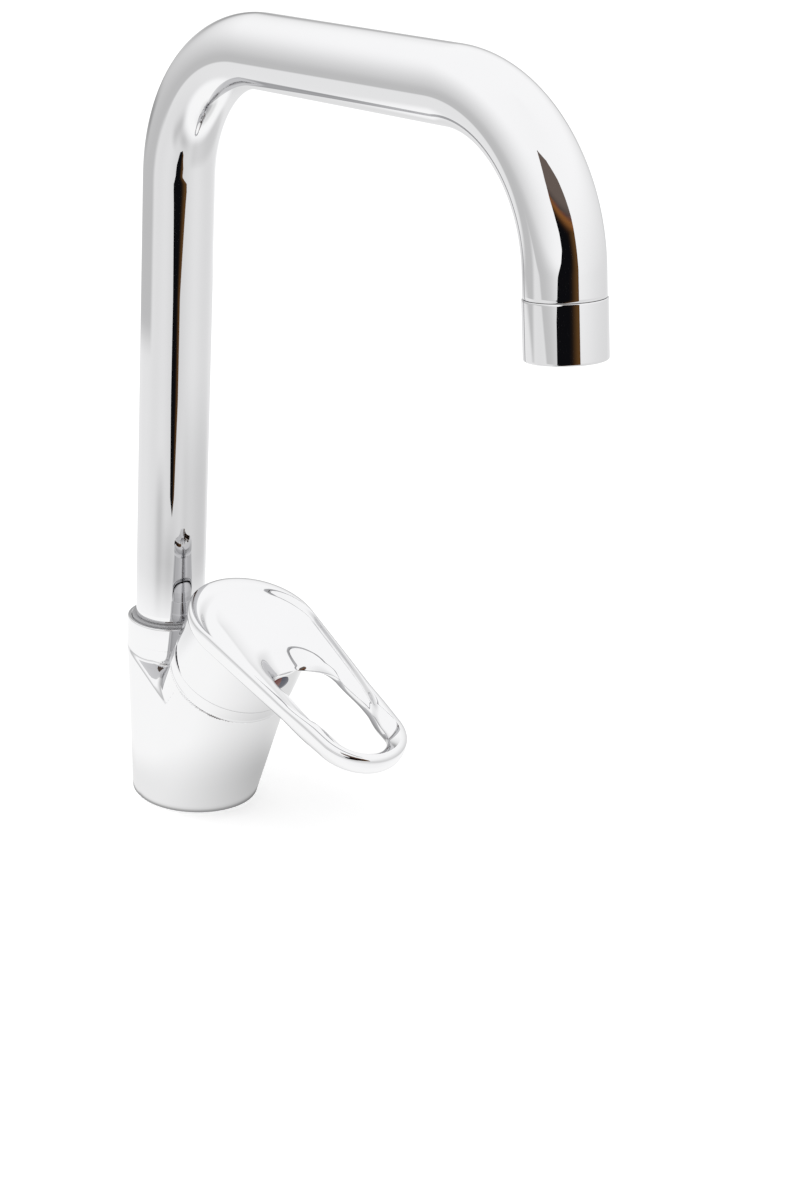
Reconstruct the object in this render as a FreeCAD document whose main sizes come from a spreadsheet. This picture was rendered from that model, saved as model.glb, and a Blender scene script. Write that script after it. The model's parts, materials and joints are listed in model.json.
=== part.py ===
"""Single-lever kitchen mixer: a cast body with a tilted cartridge head, a loop lever and a swivelling
two-bend spout. Millimetres, +Z up, +X towards the lever's tip, origin at the mouth of the stud hole,
in the middle of the foot."""
import FreeCAD, Part
import math
import os
import re
import Sketcher

V = FreeCAD.Vector
doc = FreeCAD.newDocument("kitchen_mixer")
sheet = doc.addObject("Spreadsheet::Sheet", "sizes")

# ---------------------------------------------------------------- driving dimensions
SIZES = {
    # body casting
    "foot_front_radius": 25.2, "foot_rear_radius": 24.95, "foot_pitch": 1.6, "foot_bevel": 1.0,
    "body_height": 60.0, "front_lean": 23.7, "front_radius": 24.9, "rear_radius": 17.4,
    "shelf_rear_height": 55.6, "shelf_slope": 12.6,
    # spout collar and the bore that the spout turns in
    "riser_setback": 21.3, "collar_height": 70.0, "collar_radius": 17.3,
    "spout_bore_radius": 10.6, "spout_bore_floor": 43.0, "spout_water_radius": 5.0,
    # tilted head: seam centre, tilt of its axis from vertical, cartridge chamber
    "head_forward": 21.8, "head_height": 59.0, "head_tilt": 29.2, "neck_radius": 24.8, "neck_length": 34.0,
    "chamber_depth": 18.0, "cartridge_radius": 20.0, "turning_gap": 0.15,
    "nut_depth": 6.0, "nut_radius": 21.35, "nut_bore_radius": 17.4, "nut_hex_radius": 21.2, "nut_top": 9.0,
    "ring_height": 6.0, "ring_lip": 1.5, "dome_radius": 22.7, "dome_wall": 0.8, "dome_rise": 6.0,
    # water ways and deck fixing
    "port_back": 6.0, "port_side": 6.5, "port_front": 5.0, "port_radius": 3.3, "outlet_port_radius": 4.0,
    "inlet_port_radius": 2.4,
    "inlet_side": 10.8, "inlet_thread_radius": 4.5, "inlet_thread_depth": 14.0, "inlet_reach": 20.0,
    "stud_radius": 3.4, "stud_depth": 12.0, "channel_height": 36.0, "channel_forward": 2.5,
    "outlet_port_drop": 12.5, "inlet_port_drop": 30.0,
    "base_seal_inner": 20.0, "base_seal_outer": 23.0, "base_seal_thickness": 2.0,
    # spout
    "tube_radius": 14.0, "tube_wall": 1.2, "tube_lift": 0.95, "riser_top": 253.2, "bend_radius": 57.1,
    "bar_rise": 4.0, "bar_length": 109.4, "leg_splay": 8.0, "leg_length": 9.1,
    "foot_water_radius": 7.5, "foot_plug_height": 12.0, "foot_tail_radius": 8.6, "groove_depth": 1.7,
    "groove_width": 2.6, "groove_below_ring": 2.3, "groove_above_bush": 2.1, "slide_ring_radius": 15.6,
    "slide_ring_thickness": 1.95,
    "bush_height": 3.9, "swivel_limit": 70.0, "stop_depth": 2.0,
    "stop_screw_radius": 2.4, "stop_dog_radius": 1.5,
    # outlet
    "sleeve_radius": 14.3, "sleeve_length": 20.4, "sleeve_lip": 1.2, "sleeve_mouth_radius": 11.2,
    "nipple_radius": 12.0, "nipple_length": 9.0, "nipple_plug": 10.0, "nipple_bore_radius": 9.5,
    "aerator_radius": 12.0, "aerator_seal_thickness": 1.5, "cage_wall": 1.0, "straightener_thickness": 1.6,
    "straightener_hole_radius": 0.95, "straightener_pitch": 3.4,
    # cartridge
    "housing_wall": 1.6, "housing_neck_radius": 17.2, "housing_neck_wall": 1.5, "housing_top": 8.0,
    "housing_roof": 1.7, "base_plate_thickness": 5.4, "disc_radius": 18.1, "disc_thickness": 4.0,
    "moving_disc_radius": 13.2, "moving_disc_thickness": 3.5, "disc_rest_offset": 2.1,
    "mixing_radius": 8.2, "mixing_back": 3.4, "mixing_depth": 2.0,
    "carrier_radius": 13.2, "carrier_thickness": 4.4, "seal_cord_radius": 0.85, "seal_ring_radius": 4.25,
    "rotor_radius": 15.4, "rotor_neck_radius": 9.9, "rotor_neck_top": 13.0, "rotor_slot": 8.4,
    "pivot_height": 10.0, "pin_radius": 1.5, "pin_length": 18.6, "stem_width": 8.0, "stem_top": 28.0,
    "ball_radius": 3.0, "ball_drop": 11.8, "lift_limit": 20.0,
    # lever
    "bell_radius": 25.4, "bell_wall": 2.3, "bell_gap": 0.4, "bell_shoulder": 20.0, "bell_roof": 27.0,
    "bell_roof_radius": 14.0, "lever_height": 31.6, "lever_setback": 1.2, "lever_tilt": 17.5,
    "plate_thickness": 8.0, "plate_round": 3.0, "hub_radius": 26.05, "tip_radius": 18.95, "tip_reach": 73.0,
    "opening_hub_radius": 12.9, "opening_hub_reach": 42.9, "opening_tip_radius": 10.7,
    "opening_tip_reach": 74.4, "dish_radius": 70.0, "dish_depth": 2.6, "dish_forward": 2.0,
    "scoop_radius": 13.0, "scoop_reach": 31.0, "scoop_lift": 7.0,
    "boss_radius": 8.6, "boss_bottom": 17.5, "screw_height": 24.0, "screw_radius": 2.9, "screw_length": 9.0,
    "screw_boss_radius": 4.8, "button_radius": 4.0, "button_depth": 3.4, "button_stand": 0.5,
    "fit_gap": 0.05,
}
for row, (alias, size) in enumerate(SIZES.items(), start=1):
    sheet.set(f"A{row}", alias.replace("_", " "))
    sheet.set(f"B{row}", f"{size:g}")
    sheet.setAlias(f"B{row}", alias)
doc.recompute()


def bound(formula):
    """A formula over the size names, as an expression over the sheet's cells."""
    return re.sub(r"[a-z_]+", lambda word: "sizes." + word.group() if word.group() in SIZES else word.group(),
                  formula)


def number(formula):
    """What a formula gives with the sheet's present sizes."""
    return float(sheet.evalExpression(bound(formula)))


# ---------------------------------------------------------------- frames
# A frame is an origin in the XZ plane and a tilt about Y; its own axes are u (forward), v (+Y) and w (up).
def within(frame, u, w):
    """X and Z formulas of the point (u, w) of a frame."""
    x, z, tilt = frame
    return (f"({x}) + ({u}) * cos({tilt}) + ({w}) * sin({tilt})",
            f"({z}) - ({u}) * sin({tilt}) + ({w}) * cos({tilt})")


DECK = ("0", "0", "0")
RISER = ("-riser_setback", "0", "0")
HEAD = ("head_forward", "head_height", "head_tilt")
PLATE = within(HEAD, "-lever_setback", "lever_height") + ("lever_tilt",)

# the spout's centre line, in the riser's frame; the tube starts just above the collar
TUBE_FOOT = "(collar_height + tube_lift)"
BEND_ONE_END = ("bend_radius * (1 - sin(bar_rise))", "riser_top + bend_radius * cos(bar_rise)")
BAR_END = (f"{BEND_ONE_END[0]} + bar_length * cos(bar_rise)",
           f"{BEND_ONE_END[1]} + bar_length * sin(bar_rise)")
BEND_TWO_END = (f"{BAR_END[0]} + bend_radius * (sin(bar_rise) + cos(leg_splay))",
                f"{BAR_END[1]} - bend_radius * (cos(bar_rise) - sin(leg_splay))")
LEG_END = (f"{BEND_TWO_END[0]} + leg_length * sin(leg_splay)",
           f"{BEND_TWO_END[1]} - leg_length * cos(leg_splay)")
OUTLET = (f"{LEG_END[0]} - riser_setback", LEG_END[1], "-leg_splay")


# heights in the spout's joint, from its bush and its slide ring; the stop screw sits between the grooves
PLUG = "(spout_bore_radius - fit_gap)"
GROOVE_ROOT = f"({PLUG} - groove_depth)"
BUSH_TOP = "(spout_bore_floor + 2 * fit_gap + bush_height)"
LOWER_GROOVE = f"({BUSH_TOP} + groove_above_bush)"
RING_SEAT = f"({TUBE_FOOT} - slide_ring_thickness - 0.1)"
UPPER_GROOVE = f"({RING_SEAT} - groove_below_ring - groove_width)"
STOP_HEIGHT = f"(({LOWER_GROOVE} + groove_width + {UPPER_GROOVE}) / 2)"


def put(item, frame, u="0", v="0", w="0", turn="0"):
    """Places an item at (u, v, w) of a frame, turned about Y by the frame's tilt and by turn."""
    x, z = within(frame, u, w)
    item.Placement = FreeCAD.Placement(V(), FreeCAD.Rotation(V(0, 1, 0), 10))
    item.setExpression("Placement.Base.x", bound(x))
    item.setExpression("Placement.Base.y", bound(v))
    item.setExpression("Placement.Base.z", bound(z))
    item.setExpression("Placement.Rotation.Angle", bound(f"({frame[2]}) + ({turn})"))
    return item


# ---------------------------------------------------------------- building blocks
def primitive(kind, name, frame, at=("0", "0", "0"), turn="0", **sizes):
    """A Part primitive with its sizes bound to formulas."""
    item = doc.addObject("Part::" + kind, name)
    for field, formula in sizes.items():
        item.setExpression(field, bound(formula))
    return put(item, frame, *at, turn=turn)


def drum(name, frame, radius, low, high, u="0", v="0"):
    """A cylinder about the frame's w axis, moved to (u, v)."""
    return primitive("Cylinder", name, frame, (u, v, low), Radius=radius, Height=f"({high}) - ({low})")


def crossbar(name, frame, radius, length, w):
    """A cylinder along Y, centred on the frame's origin plane at height w."""
    item = doc.addObject("Part::Cylinder", name)
    item.setExpression("Radius", bound(radius))
    item.setExpression("Height", bound(length))
    item.Placement = FreeCAD.Placement(V(), FreeCAD.Rotation(V(1, 0, 0), -90))
    x, z = within(frame, "0", w)
    item.setExpression("Placement.Base.x", bound(x))
    item.setExpression("Placement.Base.y", bound(f"-({length}) / 2"))
    item.setExpression("Placement.Base.z", bound(z))
    return item


def forward_rod(name, frame, radius, start, end, w, v="0"):
    """A cylinder along the frame's u axis."""
    return primitive("Cylinder", name, frame, (start, v, w), turn="90", Radius=radius,
                     Height=f"({end}) - ({start})")


def block(name, frame, low, high, turn="0"):
    """A box between two corners of a frame."""
    spans = {field: f"({b}) - ({a})" for field, a, b in zip(("Length", "Width", "Height"), low, high)}
    return primitive("Box", name, frame, low, turn=turn, **spans)


def ball(name, frame, radius, u, w):
    return primitive("Sphere", name, frame, (u, "0", w), Radius=radius)


def joined(name, items):
    item = doc.addObject("Part::MultiFuse", name)
    item.Shapes = items
    item.Refine = True
    return item


def carved(name, stock, tools):
    """Stock less one or more tools."""
    item = doc.addObject("Part::Cut", name)
    item.Base = stock
    item.Tool = tools[0] if len(tools) == 1 else joined(name + "_tools", tools)
    item.Refine = True
    return item


def group(name, items):
    """Separate solids that share one node."""
    item = doc.addObject("Part::Compound", name)
    item.Links = items
    return item


def plane_of(body, role):
    return next(feature for feature in body.Origin.OriginFeatures if feature.Role == role)


def new_sketch(body, name, plane, height=None):
    sketch = body.newObject("Sketcher::SketchObject", name)
    sketch.AttachmentSupport = [(plane_of(body, plane), "")]
    sketch.MapMode = "FlatFace"
    if height:
        sketch.setExpression("AttachmentOffset.Base.z", bound(height))
    return sketch


def pin_down(sketch, piece, vertex, u, v):
    """Fixes a vertex of a sketch at the formulas (u, v)."""
    for kind, formula, axis in (("DistanceX", u, -2), ("DistanceY", v, -1)):
        if formula == "0":
            sketch.addConstraint(Sketcher.Constraint("PointOnObject", piece, vertex, axis))
        else:
            index = sketch.addConstraint(Sketcher.Constraint(kind, -1, 1, piece, vertex, number(formula)))
            sketch.setExpression(f"Constraints[{index}]", bound(formula))


def turned(name, frame, corners):
    """A piece turned about its frame's w axis; corners are (radius, w) formulas of half its section."""
    body = doc.addObject("PartDesign::Body", name)
    sketch = new_sketch(body, name + "_section", "XZ_Plane")
    points = [V(number(r), number(w), 0) for r, w in corners]
    following = points[1:] + points[:1]
    for start, end in zip(points, following):
        sketch.addGeometry(Part.LineSegment(start, end), False)
    for index, (r, w) in enumerate(corners):
        sketch.addConstraint(Sketcher.Constraint("Coincident", index, 2, (index + 1) % len(corners), 1))
        pin_down(sketch, index, 1, r, w)
    turn = body.newObject("PartDesign::Revolution", name + "_turning")
    turn.Profile = sketch
    turn.ReferenceAxis = (sketch, ["V_Axis"])
    turn.Angle = 360
    return put(body, frame)


def egg(sketch, front, front_radius, rear, rear_radius):
    """Two arcs about points of the u axis, joined by their common tangents."""
    c_one, r_one, c_two, r_two = (number(f) for f in (front, front_radius, rear, rear_radius))
    lean = math.asin((r_one - r_two) / (c_one - c_two))
    half = math.pi / 2 + lean
    along = V(-math.sin(lean), math.cos(lean), 0)
    below = V(along.x, -along.y, 0)
    one, two = V(c_one, 0, 0), V(c_two, 0, 0)
    circle_one, circle_two = Part.Circle(one, V(0, 0, 1), r_one), Part.Circle(two, V(0, 0, 1), r_two)
    sketch.addGeometry(Part.ArcOfCircle(circle_one, -half, half), False)
    sketch.addGeometry(Part.LineSegment(one + along * r_one, two + along * r_two), False)
    sketch.addGeometry(Part.ArcOfCircle(circle_two, half, 2 * math.pi - half), False)
    sketch.addGeometry(Part.LineSegment(two + below * r_two, one + below * r_one), False)
    for piece, vertex, other, other_vertex in ((0, 2, 1, 1), (1, 2, 2, 1), (2, 2, 3, 1), (3, 2, 0, 1)):
        sketch.addConstraint(Sketcher.Constraint("Tangent", piece, vertex, other, other_vertex))
    for piece, centre, radius in ((0, front, front_radius), (2, rear, rear_radius)):
        pin_down(sketch, piece, 3, centre, "0")
        index = sketch.addConstraint(Sketcher.Constraint("Radius", piece, number(radius)))
        sketch.setExpression(f"Constraints[{index}]", bound(radius))


def flat_edges(feature, height):
    """Names of the edges of a feature that lie wholly at a height of its own body."""
    return [f"Edge{i}" for i, edge in enumerate(feature.Shape.Edges, start=1)
            if all(abs(vertex.Z - height) < 1e-4 for vertex in edge.Vertexes)
            and abs(edge.CenterOfMass.z - height) < 1e-4]


# ---------------------------------------------------------------- body casting
def body_casting():
    """Leaning round-ended cone, cut behind the head by a sloping shelf that carries the spout collar."""
    cone = doc.addObject("PartDesign::Body", "body_cone")
    sole = new_sketch(cone, "sole_outline", "XY_Plane")
    egg(sole, "0", "foot_front_radius - foot_bevel", "-foot_pitch", "foot_rear_radius - foot_bevel")
    foot = new_sketch(cone, "foot_outline", "XY_Plane", "foot_bevel")
    egg(foot, "0", "foot_front_radius", "-foot_pitch", "foot_rear_radius")
    top = new_sketch(cone, "top_outline", "XY_Plane", "body_height")
    egg(top, "front_lean", "front_radius", "-riser_setback", "rear_radius")
    loft = cone.newObject("PartDesign::AdditiveLoft", "cone_wall")
    loft.Profile = sole
    loft.Sections = [foot, top]
    loft.Ruled = True
    neck = drum("head_neck", HEAD, "neck_radius", "-neck_length", "0")
    above_seam = block("above_seam", HEAD, ("-3 * neck_radius", "-3 * neck_radius", "0"),
                       ("3 * neck_radius", "3 * neck_radius", "3 * neck_radius"))
    shelf = ("-riser_setback", "shelf_rear_height", "shelf_slope")
    over_shelf = block("over_shelf", shelf, ("-3 * collar_radius", "-3 * neck_radius", "0"),
                       ("6 * collar_radius", "3 * neck_radius", "3 * collar_radius"))
    head_side = block("head_side", HEAD, ("0", "-4 * neck_radius", "-4 * neck_radius"),
                      ("4 * neck_radius", "4 * neck_radius", "4 * neck_radius"))
    valley = carved("valley", over_shelf, [neck, head_side])
    stock = carved("trimmed_cone", joined("cone_and_neck", [cone, neck]), [above_seam, valley])
    collar_bar = drum("spout_collar_bar", RISER, "collar_radius", "spout_bore_floor", "collar_height")
    under_shelf = block("under_shelf", shelf,
                        ("-3 * collar_radius", "-2 * collar_radius", "-3 * collar_radius"),
                        ("3 * collar_radius", "2 * collar_radius", "-0.5"))
    collar = carved("spout_collar", collar_bar, [under_shelf])
    with_collar = joined("cast_stock", [stock, collar])
    cuts = [
        drum("chamber", HEAD, "cartridge_radius + turning_gap", "-chamber_depth", "1"),
        drum("nut_thread", HEAD, "nut_radius + turning_gap", "-nut_depth", "1"),
        drum("spout_bore", RISER, "spout_bore_radius", "spout_bore_floor", "collar_height + 1"),
        drum("slide_ring_seat", RISER, "slide_ring_radius + turning_gap", RING_SEAT, "collar_height + 1"),
        drum("spout_water_way", RISER, "spout_water_radius", "channel_height - outlet_port_radius",
             "spout_bore_floor + 1"),
        forward_rod("cross_channel", DECK, "outlet_port_radius", "-riser_setback", "channel_forward",
                    "channel_height"),
        drum("outlet_port", HEAD, "outlet_port_radius", "-chamber_depth - outlet_port_drop",
             "1 - chamber_depth", u="-port_back"),
        drum("stud_hole", DECK, "stud_radius", "-1", "stud_depth"),
        forward_rod("stop_screw_hole", RISER, "stop_screw_radius + turning_gap", "-2 * collar_radius", "0",
                    STOP_HEIGHT),
    ]
    groove = turned("base_seal_groove", DECK, [
        ("base_seal_inner - turning_gap", "-1"), ("base_seal_outer + turning_gap", "-1"),
        ("base_seal_outer + turning_gap", "base_seal_thickness"),
        ("base_seal_inner - turning_gap", "base_seal_thickness")])
    cuts.append(groove)
    for side, sign in (("hot", ""), ("cold", "-")):
        cuts.append(drum(side + "_inlet", DECK, "inlet_thread_radius", "-1", "inlet_thread_depth",
                         v=sign + "inlet_side"))
        cuts.append(drum(side + "_drilling", DECK, "port_radius", "0", "inlet_reach", v=sign + "inlet_side"))
        cuts.append(drum(side + "_port", HEAD, "port_radius", "-chamber_depth - inlet_port_drop",
                         "1 - chamber_depth", u="port_front", v=sign + "port_side"))
    return carved("body_casting", with_collar, cuts)


# ---------------------------------------------------------------- cartridge
BASE_LOW = "0.1 - chamber_depth"
BASE_TOP = f"{BASE_LOW} + base_plate_thickness"
FIXED_LOW = f"{BASE_TOP} + fit_gap"
FIXED_TOP = f"{FIXED_LOW} + disc_thickness"
MOVING_LOW = f"{FIXED_TOP} + fit_gap / 2"
MOVING_TOP = f"{MOVING_LOW} + moving_disc_thickness"
CARRIER_LOW = f"{MOVING_TOP} + fit_gap / 2"
CARRIER_TOP = f"{CARRIER_LOW} + carrier_thickness"
NUT_LOW = "fit_gap - nut_depth"
PORTS = (("outlet", "-port_back", "0", "outlet_port_radius"),
         ("hot", "port_front", "port_side", "inlet_port_radius"),
         ("cold", "port_front", "-port_side", "inlet_port_radius"))


def hexagon(name, frame, radius, low, high):
    """A hexagonal prism about the frame's w axis."""
    return primitive("Prism", name, frame, ("0", "0", low), Circumradius=radius, Height=f"({high}) - ({low})")


def cover_ring():
    dome_top = "pivot_height + dome_rise"
    return turned("cover_ring", HEAD, [
        ("nut_radius + 0.1", "fit_gap"), ("neck_radius", "fit_gap"), ("neck_radius", "ring_height"),
        ("dome_radius", "ring_height"), ("dome_radius", "pivot_height"), ("dome_radius - 0.85", dome_top),
        ("dome_radius - 0.85 - dome_wall", dome_top), ("dome_radius - dome_wall", "pivot_height"),
        ("dome_radius - dome_wall", "ring_lip"), ("nut_radius + 0.1", "ring_lip")])


def cartridge_nut():
    thread = drum("nut_thread_rod", HEAD, "nut_radius", NUT_LOW, "ring_lip")
    head = hexagon("nut_hexagon", HEAD, "nut_hex_radius", "ring_lip", "nut_top")
    bore = drum("nut_bore", HEAD, "nut_bore_radius", "-2 * nut_depth", "2 * nut_top")
    return carved("cartridge_nut", joined("nut_stock", [thread, head]), [bore])


def cartridge_housing():
    roof = "housing_top - housing_roof"
    neck = "housing_neck_radius - housing_neck_wall"
    skirt = "cartridge_radius - housing_wall"
    return turned("cartridge_housing", HEAD, [
        (skirt, BASE_LOW), ("cartridge_radius", BASE_LOW), ("cartridge_radius", "-nut_depth"),
        ("housing_neck_radius", "-nut_depth"), ("housing_neck_radius", "housing_top"),
        ("rotor_neck_radius + 0.3", "housing_top"), ("rotor_neck_radius + 0.3", roof), (neck, roof),
        (neck, f"{FIXED_TOP} + fit_gap"), (skirt, f"{FIXED_TOP} + fit_gap")])


def cartridge_base():
    plate = drum("base_plate", HEAD, "cartridge_radius - housing_wall - 0.2", BASE_LOW, BASE_TOP)
    cuts = []
    for side, u, v, radius in PORTS:
        cuts.append(drum(side + "_base_port", HEAD, radius, "-2 * chamber_depth", "0", u=u, v=v))
        cuts.append(drum(side + "_seal_pocket", HEAD, "seal_ring_radius + seal_cord_radius + 0.1",
                         "-2 * chamber_depth", f"{BASE_LOW} + 2 * seal_cord_radius", u=u, v=v))
    return carved("cartridge_base", plate, cuts)


def port_seals():
    height = "0.03 + seal_cord_radius - chamber_depth"
    rings = [primitive("Torus", side + "_port_seal", HEAD, (u, v, height), Radius1="seal_ring_radius",
                       Radius2="seal_cord_radius") for side, u, v, radius in PORTS]
    return group("port_seals", rings)


def fixed_disc():
    plate = drum("fixed_disc_blank", HEAD, "disc_radius", FIXED_LOW, FIXED_TOP)
    cuts = [drum(side + "_disc_port", HEAD, radius, "-2 * chamber_depth", "0", u=u, v=v)
            for side, u, v, radius in PORTS]
    return carved("fixed_disc", plate, cuts)


def moving_disc():
    plate = drum("moving_disc_blank", HEAD, "moving_disc_radius", MOVING_LOW, MOVING_TOP,
                 u="-disc_rest_offset")
    pocket = drum("mixing_pocket", HEAD, "mixing_radius", "-2 * chamber_depth",
                  f"{MOVING_LOW} + mixing_depth", u="-disc_rest_offset - mixing_back")
    return carved("moving_disc", plate, [pocket])


def disc_carrier():
    plate = drum("carrier_blank", HEAD, "carrier_radius", CARRIER_LOW, CARRIER_TOP, u="-disc_rest_offset")
    socket = drum("ball_socket", HEAD, "ball_radius + 0.1", "-2 * chamber_depth", "1")
    return carved("disc_carrier", plate, [socket])


def rotor():
    plate = drum("rotor_plate", HEAD, "rotor_radius", f"{CARRIER_TOP} + 0.2",
                 "housing_top - housing_roof - 0.2")
    neck = drum("rotor_neck", HEAD, "rotor_neck_radius", "0", "rotor_neck_top")
    slot = block("rotor_slot_cut", HEAD, ("-9", "-rotor_slot / 2", "-5"), ("9", "rotor_slot / 2", "30"))
    hole = crossbar("rotor_pin_hole", HEAD, "pin_radius + fit_gap", "4 * rotor_neck_radius", "pivot_height")
    return carved("rotor", joined("rotor_stock", [plate, neck]), [slot, hole])


def stem():
    arm = drum("stem_arm", HEAD, "ball_radius - 0.4", "pivot_height - ball_drop", "pivot_height")
    end = ball("stem_ball", HEAD, "ball_radius", "0", "pivot_height - ball_drop")
    square = block("stem_square", HEAD, ("-stem_width / 2", "-stem_width / 2", "pivot_height / 2"),
                   ("stem_width / 2", "stem_width / 2", "stem_top"))
    hole = crossbar("stem_pin_hole", HEAD, "pin_radius + 2 * fit_gap", "3 * stem_width", "pivot_height")
    return carved("stem", joined("stem_stock", [arm, end, square]), [hole])


# ---------------------------------------------------------------- lever
def lever_plate():
    """The flat loop: two nested round-ended outlines padded about the lever's mid plane."""
    body = doc.addObject("PartDesign::Body", "lever_plate")
    sketch = new_sketch(body, "lever_outline", "XY_Plane")
    egg(sketch, "tip_reach", "tip_radius", "0", "hub_radius")
    pad = body.newObject("PartDesign::Pad", "lever_slab")
    pad.Profile = sketch
    pad.Midplane = True
    pad.setExpression("Length", bound("plate_thickness"))
    opening = new_sketch(body, "opening_outline", "XY_Plane")
    egg(opening, "opening_tip_reach", "opening_tip_radius", "opening_hub_reach", "opening_hub_radius")
    pocket = body.newObject("PartDesign::Pocket", "lever_opening")
    pocket.Profile = opening
    pocket.Midplane = True
    pocket.setExpression("Length", bound("3 * plate_thickness"))
    doc.recompute()
    half = number("plate_thickness / 2")
    rounding = body.newObject("PartDesign::Fillet", "lever_rounding")
    rounding.Base = (pocket, flat_edges(pocket, half) + flat_edges(pocket, -half))
    rounding.setExpression("Radius", bound("plate_round"))
    body.Tip = rounding
    return put(body, PLATE)


def lever_handle():
    bell_bottom = "ring_height + bell_gap"
    bell = drum("lever_bell", HEAD, "bell_radius", bell_bottom, "2 * lever_height")
    over_plate = block("over_lever", PLATE, ("-2 * hub_radius", "-2 * hub_radius", "0"),
                       ("2 * hub_radius", "2 * hub_radius", "3 * hub_radius"))
    bell_inner = "bell_radius - bell_wall"
    cavity = turned("bell_cavity", HEAD, [
        ("0", "ring_height - 1"), (bell_inner, "ring_height - 1"), (bell_inner, "bell_shoulder"),
        ("bell_roof_radius", "bell_roof"), ("0", "bell_roof")])
    x, z = within(HEAD, "0", f"{bell_bottom} - 0.2")
    rear_relief = block("rear_relief", (x, z, "head_tilt + lift_limit"),
                        ("-3 * bell_radius", "-2 * bell_radius", "-2 * bell_radius"),
                        ("0", "2 * bell_radius", "0"))
    cast = joined("lever_cast", [carved("bell_stock", bell, [over_plate]), lever_plate()])
    shell = carved("lever_shell", cast, [cavity, rear_relief])
    boss = drum("stem_boss", HEAD, "boss_radius", "boss_bottom", "bell_roof + 1")
    screw_boss = forward_rod("screw_boss", HEAD, "screw_boss_radius", "boss_radius - 1", "bell_radius - 1",
                             "screw_height")
    stock = joined("lever_with_bosses", [shell, boss, screw_boss])
    square = block("stem_socket", HEAD, ("-stem_width / 2 - fit_gap", "-stem_width / 2 - fit_gap", "0"),
                   ("stem_width / 2 + fit_gap", "stem_width / 2 + fit_gap", "stem_top + 0.4"))
    screw_hole = forward_rod("screw_hole", HEAD, "screw_radius + 2 * fit_gap", "0",
                             "bell_radius - button_depth + 1", "screw_height")
    recess = forward_rod("button_recess", HEAD, "button_radius + fit_gap", "bell_radius - button_depth",
                         "2 * bell_radius", "screw_height")
    dish = ball("thumb_dish", PLATE, "dish_radius", "dish_forward",
                "plate_thickness / 2 - dish_depth + dish_radius")
    scoop = ball("finger_scoop", PLATE, "scoop_radius", "scoop_reach", "scoop_lift")
    return carved("lever_handle", stock, [square, screw_hole, recess, dish, scoop])


def lever_set_screw():
    start = "stem_width / 2 + fit_gap"
    end = f"{start} + screw_length"
    rod = forward_rod("set_screw_rod", HEAD, "screw_radius", start, end, "screw_height")
    socket = primitive("Prism", "set_screw_socket", HEAD, (f"{end} - 2.5", "0", "screw_height"),
                       turn="90", Circumradius="screw_radius / 2", Height="5")
    return carved("lever_set_screw", rod, [socket])


def indicator_button():
    rod = forward_rod("button_rod", HEAD, "button_radius", "bell_radius - button_depth + fit_gap",
                      "bell_radius + button_stand", "screw_height")
    return group("indicator_button", [rod])


# ---------------------------------------------------------------- spout
def spout_tube():
    """The bent tube: a ring swept along riser, bend, bar, bend and leg."""
    body = doc.addObject("PartDesign::Body", "spout_tube")
    path = new_sketch(body, "centre_line", "XZ_Plane")
    points = [("0", TUBE_FOOT), ("0", "riser_top"), BEND_ONE_END, BAR_END, BEND_TWO_END, LEG_END]
    centres = {1: ("bend_radius", "riser_top"),
               3: (f"{BAR_END[0]} + bend_radius * sin(bar_rise)",
                   f"{BAR_END[1]} - bend_radius * cos(bar_rise)")}
    corners = [V(number(x), number(z), 0) for x, z in points]
    for index in range(5):
        if index in centres:
            x, z = (number(formula) for formula in centres[index])
            later_and_earlier = (corners[index + 1], corners[index])
            start, end = (math.atan2(corner.y - z, corner.x - x) for corner in later_and_earlier)
            circle = Part.Circle(V(x, z, 0), V(0, 0, 1), number("bend_radius"))
            path.addGeometry(Part.ArcOfCircle(circle, start, end), False)
        else:
            path.addGeometry(Part.LineSegment(corners[index], corners[index + 1]), False)
    ends = [(0, 1, 2), (1, 2, 1), (2, 1, 2), (3, 2, 1), (4, 1, 2)]
    for (piece, begin, finish), point in zip(ends, points):
        pin_down(path, piece, begin, *point)
    pin_down(path, 4, 2, *points[5])
    for (piece, begin, finish), (after, after_begin, after_finish) in zip(ends, ends[1:]):
        path.addConstraint(Sketcher.Constraint("Coincident", piece, finish, after, after_begin))
    for arc in centres:
        index = path.addConstraint(Sketcher.Constraint("Radius", arc, number("bend_radius")))
        path.setExpression(f"Constraints[{index}]", bound("bend_radius"))
    ring = new_sketch(body, "tube_section", "XY_Plane", TUBE_FOOT)
    for piece, formula in enumerate(("tube_radius", "tube_radius - tube_wall")):
        ring.addGeometry(Part.Circle(V(), V(0, 0, 1), number(formula)), False)
        ring.addConstraint(Sketcher.Constraint("Coincident", piece, 3, -1, 1))
        index = ring.addConstraint(Sketcher.Constraint("Radius", piece, number(formula)))
        ring.setExpression(f"Constraints[{index}]", bound(formula))
    pipe = body.newObject("PartDesign::AdditivePipe", "bent_tube")
    pipe.Profile = ring
    pipe.Spine = (path, ["Edge1", "Edge2", "Edge3", "Edge4", "Edge5"])
    return put(body, RISER)


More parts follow.
